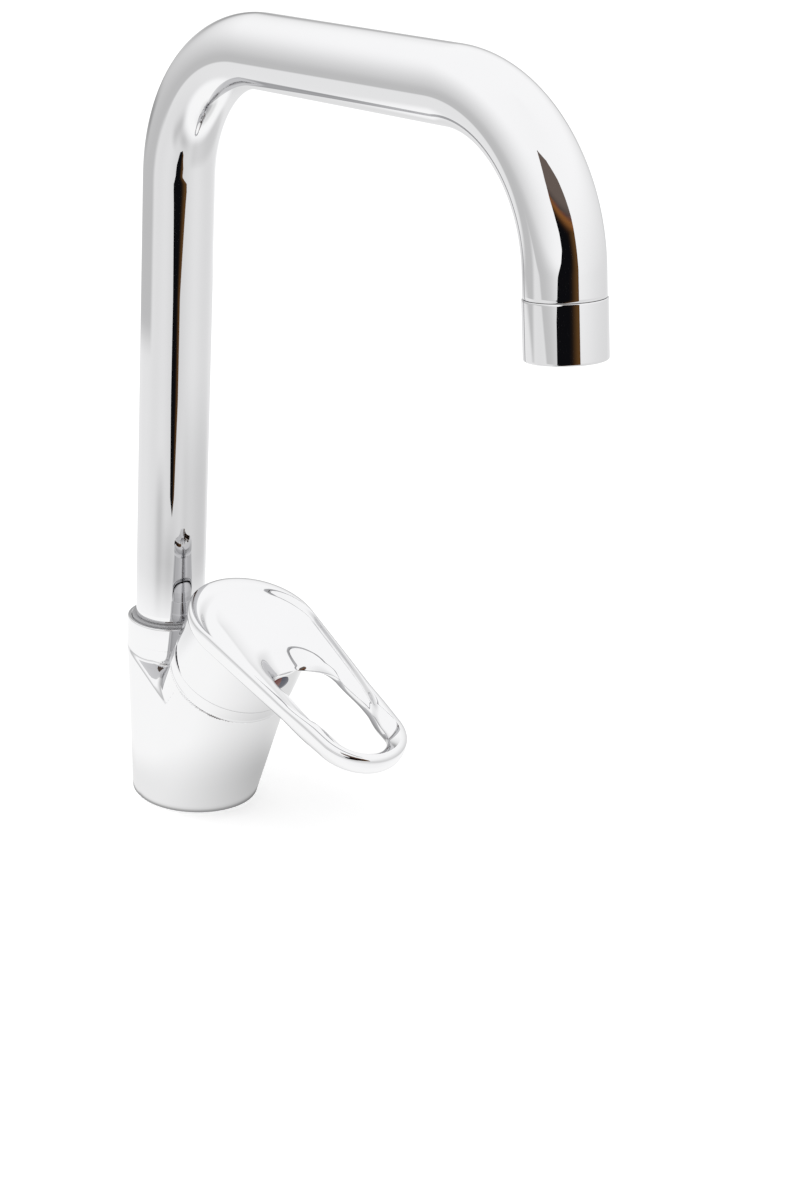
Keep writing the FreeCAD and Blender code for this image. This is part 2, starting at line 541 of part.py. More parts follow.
def spout_foot():
    plug_in_tube = "tube_radius - tube_wall - fit_gap"
    core = turned("foot_turning", RISER, [
        ("foot_water_radius", "spout_bore_floor + 0.5"), ("foot_tail_radius", "spout_bore_floor + 0.5"),
        ("foot_tail_radius", BUSH_TOP), (PLUG, BUSH_TOP),
        (PLUG, LOWER_GROOVE), (GROOVE_ROOT, LOWER_GROOVE),
        (GROOVE_ROOT, f"{LOWER_GROOVE} + groove_width"), (PLUG, f"{LOWER_GROOVE} + groove_width"),
        (PLUG, UPPER_GROOVE), (GROOVE_ROOT, UPPER_GROOVE),
        (GROOVE_ROOT, f"{UPPER_GROOVE} + groove_width"), (PLUG, f"{UPPER_GROOVE} + groove_width"),
        (PLUG, TUBE_FOOT), (plug_in_tube, TUBE_FOOT), (plug_in_tube, f"{TUBE_FOOT} + foot_plug_height"),
        ("foot_water_radius", f"{TUBE_FOOT} + foot_plug_height")])
    sector = doc.addObject("Part::Cylinder", "stop_sector")
    sector.setExpression("Radius", bound("2 * spout_bore_radius"))
    sector.setExpression("Angle", bound("2 * swivel_limit + 20"))
    sector.setExpression("Height", bound("2 * stop_dog_radius + 0.4"))
    sector.Placement = FreeCAD.Placement(V(), FreeCAD.Rotation(V(0, 0, 1), 100))
    sector.setExpression("Placement.Rotation.Angle", bound("170 - swivel_limit"))
    sector.setExpression("Placement.Base.x", bound("-riser_setback"))
    sector.setExpression("Placement.Base.z", bound(f"{STOP_HEIGHT} - stop_dog_radius - 0.2"))
    keep = drum("slot_root", RISER, f"{PLUG} - stop_depth", "spout_bore_floor", "collar_height")
    return carved("spout_foot", core, [carved("stop_slot", sector, [keep])])


def spout_o_rings():
    rings = [primitive("Torus", name, RISER, ("0", "0", f"{groove} + groove_width / 2"),
                       Radius1=f"(spout_bore_radius + {GROOVE_ROOT}) / 2",
                       Radius2=f"(spout_bore_radius - {GROOVE_ROOT}) / 2 - fit_gap / 2")
             for name, groove in (("lower_o_ring", LOWER_GROOVE), ("upper_o_ring", UPPER_GROOVE))]
    return group("spout_o_rings", rings)


def slide_ring():
    top, inner = f"{TUBE_FOOT} - 0.1", "spout_bore_radius + fit_gap"
    return turned("spout_slide_ring", RISER, [
        (inner, RING_SEAT), ("slide_ring_radius", RING_SEAT), ("slide_ring_radius", top), (inner, top)])


def lower_bush():
    inner, floor = "foot_tail_radius + 0.1", "spout_bore_floor + fit_gap"
    top = f"{floor} + bush_height"
    return turned("spout_lower_bush", RISER, [(inner, floor), (PLUG, floor), (PLUG, top), (inner, top)])


def stop_screw():
    head_end, shoulder = "0.6 - collar_radius", "-spout_bore_radius - 0.5"
    rod = forward_rod("stop_screw_rod", RISER, "stop_screw_radius", head_end, shoulder, STOP_HEIGHT)
    dog = forward_rod("stop_screw_dog", RISER, "stop_dog_radius", shoulder, f"stop_depth - 0.4 - {PLUG}",
                      STOP_HEIGHT)
    socket = primitive("Prism", "stop_screw_socket", RISER, (f"{head_end} - 1", "0", STOP_HEIGHT), turn="90",
                       Circumradius="stop_screw_radius / 2", Height="3")
    return carved("spout_stop_screw", joined("stop_screw_stock", [rod, dog]), [socket])


# ---------------------------------------------------------------- outlet
def outlet_nipple():
    plug = "tube_radius - tube_wall - fit_gap"
    return turned("outlet_nipple", OUTLET, [
        ("nipple_bore_radius", "-nipple_length"), ("nipple_radius", "-nipple_length"), ("nipple_radius", "0"),
        (plug, "0"), (plug, "nipple_plug"), ("nipple_bore_radius", "nipple_plug")])


def outlet_sleeve():
    bore, lip = "nipple_radius + 0.1", "sleeve_lip - sleeve_length"
    return turned("outlet_sleeve", OUTLET, [
        ("sleeve_mouth_radius", "-sleeve_length"), ("sleeve_radius", "-sleeve_length"),
        ("sleeve_radius", "-fit_gap"), (bore, "-fit_gap"), (bore, lip), ("sleeve_mouth_radius", lip)])


SEAL_TOP = "(-nipple_length - fit_gap)"
CAGE_TOP = f"({SEAL_TOP} - aerator_seal_thickness - fit_gap)"
CAGE_FLOOR = "(sleeve_lip - sleeve_length + fit_gap)"


def aerator_seal():
    low = f"{SEAL_TOP} - aerator_seal_thickness"
    return turned("aerator_seal", OUTLET, [
        ("nipple_bore_radius - 1", low), ("aerator_radius", low), ("aerator_radius", SEAL_TOP),
        ("nipple_bore_radius - 1", SEAL_TOP)])


def aerator_cage():
    inner, lip = "aerator_radius - cage_wall", "aerator_radius - 2 * cage_wall"
    ledge = f"{CAGE_FLOOR} + cage_wall"
    return turned("aerator_cage", OUTLET, [
        (lip, CAGE_FLOOR), ("aerator_radius", CAGE_FLOOR), ("aerator_radius", CAGE_TOP), (inner, CAGE_TOP),
        (inner, ledge), (lip, ledge)])


def flow_straightener():
    """A disc with a round pattern of small holes: one, six and twelve."""
    low = f"{CAGE_FLOOR} + cage_wall + fit_gap"
    plate = drum("straightener_plate", OUTLET, "aerator_radius - cage_wall - 2 * fit_gap", low,
                 f"{low} + straightener_thickness")
    cuts = [drum("straightener_hole", OUTLET, "straightener_hole_radius", "-sleeve_length", "0")]
    for ring, count in ((1, 6), (2, 12)):
        for index in range(count):
            angle = f"{index} * 360 / {count}"
            cuts.append(drum("straightener_hole", OUTLET, "straightener_hole_radius", "-sleeve_length", "0",
                             u=f"{ring} * straightener_pitch * cos({angle})",
                             v=f"{ring} * straightener_pitch * sin({angle})"))
    return carved("flow_straightener", plate, cuts)


def base_seal():
    return turned("base_seal", DECK, [
        ("base_seal_inner", "0"), ("base_seal_outer", "0"),
        ("base_seal_outer", "base_seal_thickness - fit_gap"),
        ("base_seal_inner", "base_seal_thickness - fit_gap")])


def stem_pin():
    return group("stem_pin", [crossbar("stem_pin_rod", HEAD, "pin_radius", "pin_length", "pivot_height")])


NODES = [body_casting(), base_seal(), cover_ring(), cartridge_nut(), cartridge_housing(), cartridge_base(),
         port_seals(), fixed_disc(), moving_disc(), disc_carrier(), rotor(), stem_pin(), stem(),
         lever_handle(), lever_set_screw(), indicator_button(), spout_tube(), spout_foot(), spout_o_rings(),
         slide_ring(), lower_bush(), stop_screw(), outlet_nipple(), outlet_sleeve(), aerator_seal(),
         aerator_cage(), flow_straightener()]

doc.recompute()
faulty = [item.Name for item in doc.Objects
          if "Invalid" in item.State or "Error" in item.State
          or hasattr(item, "Shape") and item.TypeId != "App::Plane" and item in NODES
          and (item.Shape.isNull() or not item.Shape.isValid())]
if faulty:
    raise RuntimeError("not built: " + ", ".join(faulty))
os.makedirs("parts", exist_ok=True)
for node in NODES:
    node.Shape.exportStep(f"parts/{node.Label}.step")
    print(node.Label, len(node.Shape.Solids), round(node.Shape.Volume / 1000, 2), "cm3", node.Shape.BoundBox)
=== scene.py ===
"""Single-lever kitchen mixer with a swivelling two-bend spout, dressed over its CAD frame."""
import json
import math
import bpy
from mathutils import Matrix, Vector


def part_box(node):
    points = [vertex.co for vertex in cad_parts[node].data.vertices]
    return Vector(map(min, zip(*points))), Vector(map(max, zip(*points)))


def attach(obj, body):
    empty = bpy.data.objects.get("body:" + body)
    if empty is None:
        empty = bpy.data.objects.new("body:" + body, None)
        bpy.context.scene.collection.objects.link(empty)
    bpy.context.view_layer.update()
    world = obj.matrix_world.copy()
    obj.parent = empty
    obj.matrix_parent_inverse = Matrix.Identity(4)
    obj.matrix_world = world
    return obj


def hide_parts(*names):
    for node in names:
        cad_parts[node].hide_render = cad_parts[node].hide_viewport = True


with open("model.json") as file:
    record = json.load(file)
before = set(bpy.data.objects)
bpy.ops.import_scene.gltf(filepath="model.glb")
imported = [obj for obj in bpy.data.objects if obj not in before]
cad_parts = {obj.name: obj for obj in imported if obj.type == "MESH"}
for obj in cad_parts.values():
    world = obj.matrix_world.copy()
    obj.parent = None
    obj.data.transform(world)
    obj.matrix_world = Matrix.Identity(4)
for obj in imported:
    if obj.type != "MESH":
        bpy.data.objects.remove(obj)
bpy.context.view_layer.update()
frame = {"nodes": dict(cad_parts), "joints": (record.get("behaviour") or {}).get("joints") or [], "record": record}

from types import SimpleNamespace

import bmesh
import bpy
import numpy as np
from mathutils import Matrix, Vector
from mathutils.geometry import tessellate_polygon

bl_info = {
    "name": "Kitchen mixer",
    "version": (1, 0, 0),
    "blender": (4, 5, 0),
    "location": "View3D > Sidebar > Mixer",
    "description": "Builds the chrome surfaces, finishes and stage of a single-lever kitchen mixer",
    "category": "Add Mesh",
}

MM = 0.001

# places, in millimetres and degrees, that the frame gives
JOINTS = {joint["name"]: joint for joint in frame["joints"]}
RISER_SETBACK = -JOINTS["spout_swivel"]["pos_m"][0] / MM
TUBE_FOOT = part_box("spout_tube")[0][2] / MM
HEAD_FORWARD, _, HEAD_HEIGHT = (value / MM for value in JOINTS["lever_swing"]["pos_m"])
HEAD_TILT = math.degrees(math.atan2(JOINTS["lever_swing"]["axis"][0], JOINTS["lever_swing"]["axis"][2]))
LEVER_LIFT = JOINTS["lever_lift"]["range_deg"][1]


# ---------------------------------------------------------------- meshes and outlines
def lattice(rings, around, close_rings=True, close_round=True):
    """Quads that join each point of a lattice to the next one in its ring and to those of the next ring.
    The last ring can join the first one, and the last point of a ring its first."""
    index = np.arange(rings * around).reshape(rings, around)
    if close_rings:
        index = np.vstack([index, index[:1]])
    if close_round:
        index = np.hstack([index, index[:, :1]])
    corners = [index[:-1, :-1], index[:-1, 1:], index[1:, 1:], index[1:, :-1]]
    return np.stack(corners, axis=-1).reshape(-1, 4).tolist()


def in_scene(name, data):
    """A new object in the scene for a mesh, a lamp or a camera."""
    obj = bpy.data.objects.new(name, data)
    bpy.context.scene.collection.objects.link(obj)
    return obj


def skin(name, rows):
    """A mesh object from rings of points, in millimetres; rings and points close on themselves."""
    rows = np.asarray(rows, dtype=float)
    mesh = bpy.data.meshes.new(name)
    mesh.from_pydata((rows.reshape(-1, 3) * MM).tolist(), [], lattice(*rows.shape[:2]))
    mesh.polygons.foreach_set("use_smooth", np.ones(len(mesh.polygons), dtype=bool))
    mesh.update()
    if signed_volume(mesh) < 0:
        mesh.flip_normals()
    return in_scene(name, mesh)


def signed_volume(mesh):
    """Sum of the signed tetrahedra from the origin to each triangle; positive when faces look outward."""
    mesh.calc_loop_triangles()
    corners = np.empty(len(mesh.loop_triangles) * 3, dtype=np.int32)
    mesh.loop_triangles.foreach_get("vertices", corners)
    points = np.empty(len(mesh.vertices) * 3)
    mesh.vertices.foreach_get("co", points)
    a, b, c = points.reshape(-1, 3)[corners.reshape(-1, 3)].transpose(1, 0, 2)
    return float(np.einsum("ij,ij->i", a, np.cross(b, c)).sum())


def softened(corners, steps=5):
    """A closed outline of (radius, height, rounding) corners, each rounded by an arc that touches both
    sides. A point stands beside each end of an arc, so that smooth shading stays flat along the sides."""
    most_of_side, beside, beside_most = 0.45, 0.12, 0.4
    out = []
    count = len(corners)
    for i in range(count):
        before, here, after = (np.array(corners[(i + k) % count][:2], dtype=float) for k in (-1, 0, 1))
        to_before, to_after = before - here, after - here
        long_before, long_after = np.linalg.norm(to_before), np.linalg.norm(to_after)
        to_before, to_after = to_before / long_before, to_after / long_after
        half = math.acos(max(-1.0, min(1.0, float(to_before @ to_after)))) / 2
        rounding = corners[i][2]
        reach = min(rounding / math.tan(half), most_of_side * long_before, most_of_side * long_after)
        radius = reach * math.tan(half)
        inward = (to_before + to_after) / np.linalg.norm(to_before + to_after)
        middle = here + inward * radius / math.sin(half)
        start, end = here + to_before * reach, here + to_after * reach
        out.append(start + to_before * min(beside * long_before, beside_most))
        a, b = start - middle, end - middle
        span = math.acos(max(-1.0, min(1.0, float(a @ b) / radius ** 2)))
        for k in range(steps + 1):
            t = k / steps
            out.append(middle + (math.sin((1 - t) * span) * a + math.sin(t * span) * b) / math.sin(span))
        out.append(end + to_after * min(beside * long_after, beside_most))
    return np.array(out)


def turned(name, outline, place, turns=160):
    """Surface of revolution: the outline (r, w) swept through a full turn t, (r cos t, r sin t, w), and
    placed."""
    turn = np.linspace(0, 2 * math.pi, turns, endpoint=False)
    r, w = outline[:, 0][:, None], outline[:, 1][:, None]
    grid = np.stack([r * np.cos(turn), r * np.sin(turn), w + 0 * turn], axis=-1)
    return skin(name, moved(grid, place))


def tilted(x, z, degrees):
    """The placing of a frame whose origin is (x, 0, z) and whose axes are turned about Y."""
    turn = math.radians(degrees)
    axes = np.array([[math.cos(turn), 0, -math.sin(turn)],
                     [0, 1, 0],
                     [math.sin(turn), 0, math.cos(turn)]])
    return np.array([x, 0.0, z]), axes


def moved(points, place):
    """Points given in a placed frame, as points of the whole part."""
    origin, axes = place
    return points @ axes + origin


def nested_hull(front, front_radius, rear, rear_radius, bow=0.0, arc=96, straight=56):
    """Outline of two circles on the x axis and their common tangents: arc, side, arc, side.
    The sides swell outward by bow times sin squared of their length."""
    lean = math.asin((front_radius - rear_radius) / (front - rear))
    half = math.pi / 2 + lean
    along = np.linspace(0, 1, straight, endpoint=False)[:, None]
    fore = np.linspace(-half, half, arc, endpoint=False)
    aft = np.linspace(half, 2 * math.pi - half, arc, endpoint=False)
    ring_fore = np.stack([front + front_radius * np.cos(fore), front_radius * np.sin(fore)], axis=-1)
    ring_aft = np.stack([rear + rear_radius * np.cos(aft), rear_radius * np.sin(aft)], axis=-1)
    normal, mirror = np.array([-math.sin(lean), math.cos(lean)]), np.array([1, -1])
    a, b = np.array([front, 0]) + normal * front_radius, np.array([rear, 0]) + normal * rear_radius
    swell = bow * np.sin(math.pi * along) ** 2
    side = a + (b - a) * along + normal * swell
    other = (b + (a - b) * along + normal * swell) * mirror
    return np.vstack([ring_fore, side, ring_aft, other])


def ease(low, high, value):
    """0 before low, 1 after high, and a smooth rise between them: t squared times (3 - 2 t)."""
    t = np.clip((value - low) / (high - low), 0, 1)
    return t * t * (3 - 2 * t)


def hump(value, middle, width):
    """1 at the middle, falling off to both sides as a bell curve: exp of minus the square of the distance
    over the width."""
    return np.exp(-((value - middle) / width) ** 2)


# ---------------------------------------------------------------- settings
def length(name, default, description):
    """A setting that is given here in millimetres and kept in metres."""
    return bpy.props.FloatProperty(name=name, default=default * MM, description=description,
                                   subtype="DISTANCE", unit="LENGTH", precision=5)


def angle(name, default, description):
    """A setting that is given here in degrees and kept in radians."""
    return bpy.props.FloatProperty(name=name, default=math.radians(default), description=description,
                                   subtype="ANGLE", unit="ROTATION")


def number(name, default, description):
    """A setting without a unit."""
    return bpy.props.FloatProperty(name=name, default=default, description=description, precision=3)


def colour(name, default, description):
    """A linear colour."""
    return bpy.props.FloatVectorProperty(name=name, default=default, description=description,
                                         subtype="COLOR", min=0.0, max=1.0)


def plain(settings):
    """The settings with lengths in millimetres, angles in degrees and the rest as it is."""
    factors = {"LENGTH": 1 / MM, "ROTATION": 180 / math.pi}
    values = {}
    for name in settings.__annotations__:
        unit = settings.bl_rna.properties[name].unit
        values[name] = getattr(settings, name) * factors.get(unit, 1.0)
    return SimpleNamespace(**values)


class MixerSpoutSettings(bpy.types.PropertyGroup):
    """Sizes of the spout"""
    riser_setback: length("Riser setback", RISER_SETBACK, "Distance of the riser's axis behind the stud")
    tube_radius: length("Tube radius", 14.0, "Outer radius of the tube")
    tube_wall: length("Tube wall", 1.2, "Wall of the tube")
    tube_foot: length("Tube foot", TUBE_FOOT, "Height of the tube's lower end")
    riser_top: length("Riser top", 253.2, "Height where the first bend starts")
    bend_radius: length("Bend radius", 57.1, "Radius of both bends at the centre line")
    bar_rise: angle("Bar rise", 4.0, "Slope of the bar")
    bar_length: length("Bar length", 109.4, "Straight length between the bends")
    leg_splay: angle("Leg splay", 8.0, "Lean of the outlet leg")
    leg_length: length("Leg length", 9.1, "Straight length after the second bend")
    sleeve_radius: length("Sleeve radius", 14.3, "Outer radius of the outlet sleeve")
    sleeve_length: length("Sleeve length", 20.4, "Length of the outlet sleeve")


class MixerBodySettings(bpy.types.PropertyGroup):
    """Sizes of the body casting and its collar"""
    foot_front: length("Foot front radius", 25.2, "Front radius of the foot's outline")
    foot_rear: length("Foot rear radius", 24.95, "Rear radius of the foot's outline")
    foot_pitch: length("Foot pitch", 1.6, "Distance between the foot's two arc centres")
    body_height: length("Top height", 60.0, "Height of the upper outline")
    front_lean: length("Front lean", 23.7, "Forward reach of the upper outline's front centre")
    front_radius: length("Front radius", 24.9, "Front radius of the upper outline")
    rear_radius: length("Rear radius", 17.4, "Rear radius of the upper outline")
    collar_radius: length("Collar radius", 17.3, "Radius of the spout's collar")
    collar_height: length("Collar height", 70.0, "Height of the spout's collar")
    collar_setback: length("Collar setback", RISER_SETBACK, "Distance of the collar's axis behind the stud")
    tube_foot: length("Tube foot", TUBE_FOOT, "Height of the tube's lower end")
    shelf_height: length("Shelf height", 55.6, "Height of the shelf's outer rim at the riser's axis")
    shelf_slope: angle("Shelf slope", 12.6, "Forward fall of the shelf")
    shelf_bevel: length("Shelf bevel", 5.0, "Width of the bevel along the shelf's rim")
    shelf_rise: length("Shelf rise", 1.5, "How far the floor stands above the rim")
    screw_height: length("Screw height", 57.9, "Height of the stop screw behind the collar")
    screw_hole: length("Screw hole", 2.6, "Radius of the hole where the stop screw sits")
    stud_hole: length("Stud hole", 3.4, "Radius of the hole for the stud")
    inlet_hole: length("Inlet hole", 4.5, "Radius of the holes for the hoses")
    inlet_offset: length("Inlet offset", 10.8, "Distance of the hoses' holes from the stud")


class MixerHeadSettings(bpy.types.PropertyGroup):
    """Sizes of the tilted head and the lever"""
    forward: length("Head forward", HEAD_FORWARD, "Forward distance of the head's seam centre")
    height: length("Head height", HEAD_HEIGHT, "Height of the head's seam centre")
    tilt: angle("Head tilt", HEAD_TILT, "Tilt of the head's axis")
    neck_radius: length("Neck radius", 24.8, "Radius of the neck and of the cover ring")
    neck_length: length("Neck length", 34.0, "Length of the neck inside the casting")
    neck_taper: number("Neck taper", 0.045, "How fast the neck's radius shrinks below the seam")
    ring_height: length("Ring height", 6.0, "Height of the cover ring")
    bell_radius: length("Bell radius", 25.4, "Outer radius of the lever's bell")
    lift: angle("Lever lift", LEVER_LIFT, "How far the lever lifts")
    lever_height: length("Lever height", 31.6, "Height of the lever's middle plane above the seam")
    lever_setback: length("Lever setback", 1.2, "How far the lever's hub centre is set back")
    lever_tilt: angle("Lever tilt", 17.5, "Forward fall of the lever")
    hub_radius: length("Hub radius", 26.05, "Radius of the lever's hub end")
    tip_radius: length("Tip radius", 18.95, "Radius of the lever's tip end")
    tip_reach: length("Tip reach", 73.0, "Distance from the hub's centre to the tip's centre")
    opening_front: length("Opening front", 74.4, "Distance from the hub's centre to the opening's front arc")
    opening_front_radius: length("Opening front radius", 10.7, "Radius of the opening's front arc")
    opening_rear: length("Opening rear", 42.9, "Distance from the hub's centre to the opening's rear arc")
    opening_rear_radius: length("Opening rear radius", 12.9, "Radius of the opening's rear arc")
    opening_bow: length("Opening bow", 1.3, "How far the opening's sides swell")
    button_radius: length("Button radius", 4.0, "Radius of the indicator button")


class MixerFinishSettings(bpy.types.PropertyGroup):
    """Colours of the finishes"""
    chrome: colour("Chrome", (0.92, 0.92, 0.925), "Polished chrome")
    # painted shade: the tint that darkens chrome where it is seen in another chromed wall
    chrome_reflected_painted_shade: colour("Chrome in chrome", (0.60, 0.60, 0.61), "Tint of a chromed wall seen in another")
    brass: colour("Brass", (0.70, 0.52, 0.24), "Machined brass")
    steel: colour("Steel", (0.56, 0.57, 0.58), "Turned steel")
    rubber: colour("Rubber", (0.018, 0.018, 0.019), "Rubber of the seals")
    plastic: colour("Plastic", (0.80, 0.80, 0.77), "Moulded plastic of the inner pieces")
    ceramic: colour("Ceramic", (0.88, 0.86, 0.82), "Lapped ceramic discs")
    slide_ring: colour("Slide ring", (0.40, 0.40, 0.41), "Plastic of the ring at the tube's foot")
    cold: colour("Button, cold half", (0.012, 0.016, 0.05), "Cold half of the indicator button")
    hot: colour("Button, hot half", (0.15, 0.018, 0.008), "Hot half of the indicator button")
    paper: colour("Paper", (0.88, 0.88, 0.88), "Paper of the floor")


class MixerStageSettings(bpy.types.PropertyGroup):
    """Camera, lamps and floor"""
    lens: number("Lens", 81.0, "Focal length in millimetres for the 36 mm frame height")
    world: number("World level", 0.76, "Light from the plain white surroundings")
    glow: number("Paper glow", 0.36, "Even brightness added to the paper where it is seen")
    key: number("Key strength", 0.45, "Strength of the soft distant lamp")
    softness: angle("Key softness", 40.0, "Width of the distant lamp")


# ---------------------------------------------------------------- spout surfaces
def spout_line(s):
    """The spout's centre line as rows of x, z and the tangent's angle: riser, bend, bar, bend and leg. On a
    bend about (a, c) with the radius R, the point at the angle t is (a - R sin t, c + R cos t)."""
    rise, splay, upright = math.radians(s.bar_rise), math.radians(s.leg_splay), math.pi / 2
    bend = s.bend_radius
    centre_one = np.array([bend, s.riser_top])
    bar_start = centre_one + bend * np.array([-math.sin(rise), math.cos(rise)])
    bar_end = bar_start + s.bar_length * np.array([math.cos(rise), math.sin(rise)])
    centre_two = bar_end + bend * np.array([math.sin(rise), -math.cos(rise)])
    leg_start = centre_two + bend * np.array([math.cos(splay), math.sin(splay)])
    leg_end = leg_start + s.leg_length * np.array([math.sin(splay), -math.cos(splay)])

    def straight(start, end, t, steps, with_end=False):
        share = np.linspace(0, 1, steps, endpoint=with_end)[:, None]
        return np.hstack([start + (end - start) * share, t + 0 * share])

    def arc(centre, start, end, steps=90):
        t = np.linspace(start, end, steps, endpoint=False)
        return np.column_stack([centre[0] - bend * np.sin(t), centre[1] + bend * np.cos(t), t])

    line = np.vstack([
        straight(np.array([0.0, s.tube_foot]), np.array([0.0, s.riser_top]), upright, 60),
        arc(centre_one, upright, rise),
        straight(bar_start, bar_end, rise, 40),
        arc(centre_two, rise, splay - upright),
        straight(leg_start, leg_end, splay - upright, 8, with_end=True),
    ])
    line[:, 0] -= s.riser_setback
    return line


def tube_surface(s, around=128, inner_step=4):
    """Point (x(q), 0, z(q)) + r (cos t n(q) + sin t Y), n being the line's normal; out along the outer
    wall, back along the inner wall, with a small rounding at both ends."""
    line = spout_line(s)
    first, last = line[0], line[-1]
    turn = np.linspace(0, 2 * math.pi, around, endpoint=False)
    outer, inner = s.tube_radius, s.tube_radius - s.tube_wall
    lip = 0.3
    corner = 0.3 * lip

    def ring(point, radius, slide=0.0):
        x, z, t = point
        x, z = x + slide * math.cos(t), z + slide * math.sin(t)
        across = radius * np.cos(turn)
        return np.stack([x - across * math.sin(t), radius * np.sin(turn), z + across * math.cos(t)], axis=-1)

    rings = [ring(first, outer - lip), ring(first, outer - corner, corner), ring(first, outer, lip)]
    rings += [ring(point, outer) for point in line[1:-1]]
    rings += [ring(last, outer, -lip), ring(last, outer - corner, -corner), ring(last, outer - lip)]
    rings += [ring(last, inner)]
    rings += [ring(point, inner) for point in line[-2:0:-inner_step]]
    rings += [ring(first, inner)]
    return skin("spout_tube_skin", rings)


def sleeve_surface(s):
    """The outlet sleeve, turned about the leg's line: a cylinder with a narrow inward lip at its mouth."""
    x, z, _ = spout_line(s)[-1]
    r, bore, lip, lip_height = s.sleeve_radius, 12.1, 11.2, 1.2
    mouth, top = -s.sleeve_length, -0.05
    outline = softened([(lip, mouth, 0.25), (r, mouth, 0.5), (r, top, 0.3), (bore, top, 0.1),
                        (bore, mouth + lip_height, 0.1), (lip, mouth + lip_height, 0.1)])
    return turned("outlet_sleeve_skin", outline, tilted(x, z, -s.leg_splay))


# ---------------------------------------------------------------- body surfaces
def smooth_low(a, b, width):
    """The smaller of two distances, blended over a width: it rounds an inner corner of their union."""
    mix = np.clip(0.5 + 0.5 * (b - a) / width, 0, 1)
    return b + (a - b) * mix - width * mix * (1 - mix)


def smooth_high(a, b, width):
    """The larger of two distances, blended over a width: it rounds an outer corner of their overlap."""
    return -smooth_low(-a, -b, width)


def cone_distance(x, y, z, s):
    """The leaning cone: at each height a front circle, a rear circle and their tangents. The value is the
    distance to the circle between the two that stands square to the point, less that circle's radius."""
    steepest = 0.99
    t = z / s.body_height
    front, rear = s.front_lean * t, -s.foot_pitch + (s.foot_pitch - s.collar_setback) * t
    r_front = s.foot_front + (s.front_radius - s.foot_front) * t
    r_rear = s.foot_rear + (s.rear_radius - s.foot_rear) * t
    span = front - rear
    lean = np.clip((r_front - r_rear) / span, -steepest, steepest)
    q = np.clip((x - rear + np.abs(y) * lean / np.sqrt(1 - lean ** 2)) / span, 0, 1)
    return np.hypot(x - (rear + q * span), y) - (r_rear + q * (r_front - r_rear))


def neck_distance(u, v, w, h):
    """The head's neck: a cylinder that narrows evenly below the seam, and faster in its lower part."""
    faster, faster_below = 1.3, 18.0
    sinking = h.neck_taper * (np.maximum(-w, 0) + faster * np.maximum(-w - faster_below, 0))
    return np.maximum(np.hypot(u, v) - h.neck_radius + sinking, -w - h.neck_length)


def body_distance(points, s, h):
    """Distance-like value of the casting, negative inside: the cone cut by the sloping shelf, whose floor
    rises from its rim over a bevel; the head's neck and the collar joined to it; the stop screw's hole taken
    out; and all of it cut off at the head's seam and at the deck. Every edge is blended."""
    rim_blend, collar_blend, hole_blend, seam_blend, foot_blend = 1.0, 0.9, 0.25, 0.12, 1.2
    shelf_end, shelf_fall = 3.0, 5.0
    collar_inset, collar_below_skin, collar_sunk, hole_floor, seam_gap = 0.01, 8.0, 0.8, 1.2, 0.02
    x, y, z = np.moveaxis(points, -1, 0)
    origin, axes = tilted(h.forward, h.height, h.tilt)
    u, v, w = np.moveaxis((points - origin) @ axes.T, -1, 0)
    cone = cone_distance(x, y, z, s)
    behind, slope = x + s.collar_setback, math.radians(s.shelf_slope)
    over_rim = (z - s.shelf_height) * math.cos(slope) + behind * math.sin(slope)
    shelf = over_rim - np.clip(-cone, 0, s.shelf_bevel) * s.shelf_rise / s.shelf_bevel
    shelf = shelf - shelf_fall * np.maximum(u + shelf_end, 0)
    neck_blend = 0.1 + 2.3 * ease(2, -14, u)
    stock = smooth_low(smooth_high(cone, shelf, rim_blend), neck_distance(u, v, w, h), neck_blend)
    collar = np.maximum(np.hypot(behind, y) - s.collar_radius + collar_inset,
                        z - s.collar_height + collar_below_skin)
    collar = np.maximum(collar, -over_rim - collar_sunk)
    stock = smooth_low(stock, collar, collar_blend)
    screw_hole = np.maximum(np.hypot(y, z - s.screw_height) - s.screw_hole,
                            behind + s.collar_radius - hole_floor)
    stock = smooth_high(stock, -screw_hole, hole_blend)
    return smooth_high(smooth_high(stock, w + seam_gap, seam_blend), -z, foot_blend)


def first_crossing(function, starts, directions, reach=90.0, samples=60, halvings=26):
    """Distance along each ray to where the function first turns positive, by sampling and then halving."""
    low = np.zeros(starts.shape[:-1])
    high = np.full(starts.shape[:-1], reach)
    found = np.zeros(starts.shape[:-1], dtype=bool)
    for k in range(1, samples + 1):
        far = reach * k / samples
        outside = function(starts + directions * far) > 0
        fresh = outside & ~found
        high[fresh] = far
        low[~found & ~outside] = far
        found |= outside
    for _ in range(halvings):
        middle = (low + high) / 2
        outside = function(starts + directions * middle[..., None]) > 0
        high = np.where(outside, middle, high)
        low = np.where(outside, low, middle)
    return (low + high) / 2


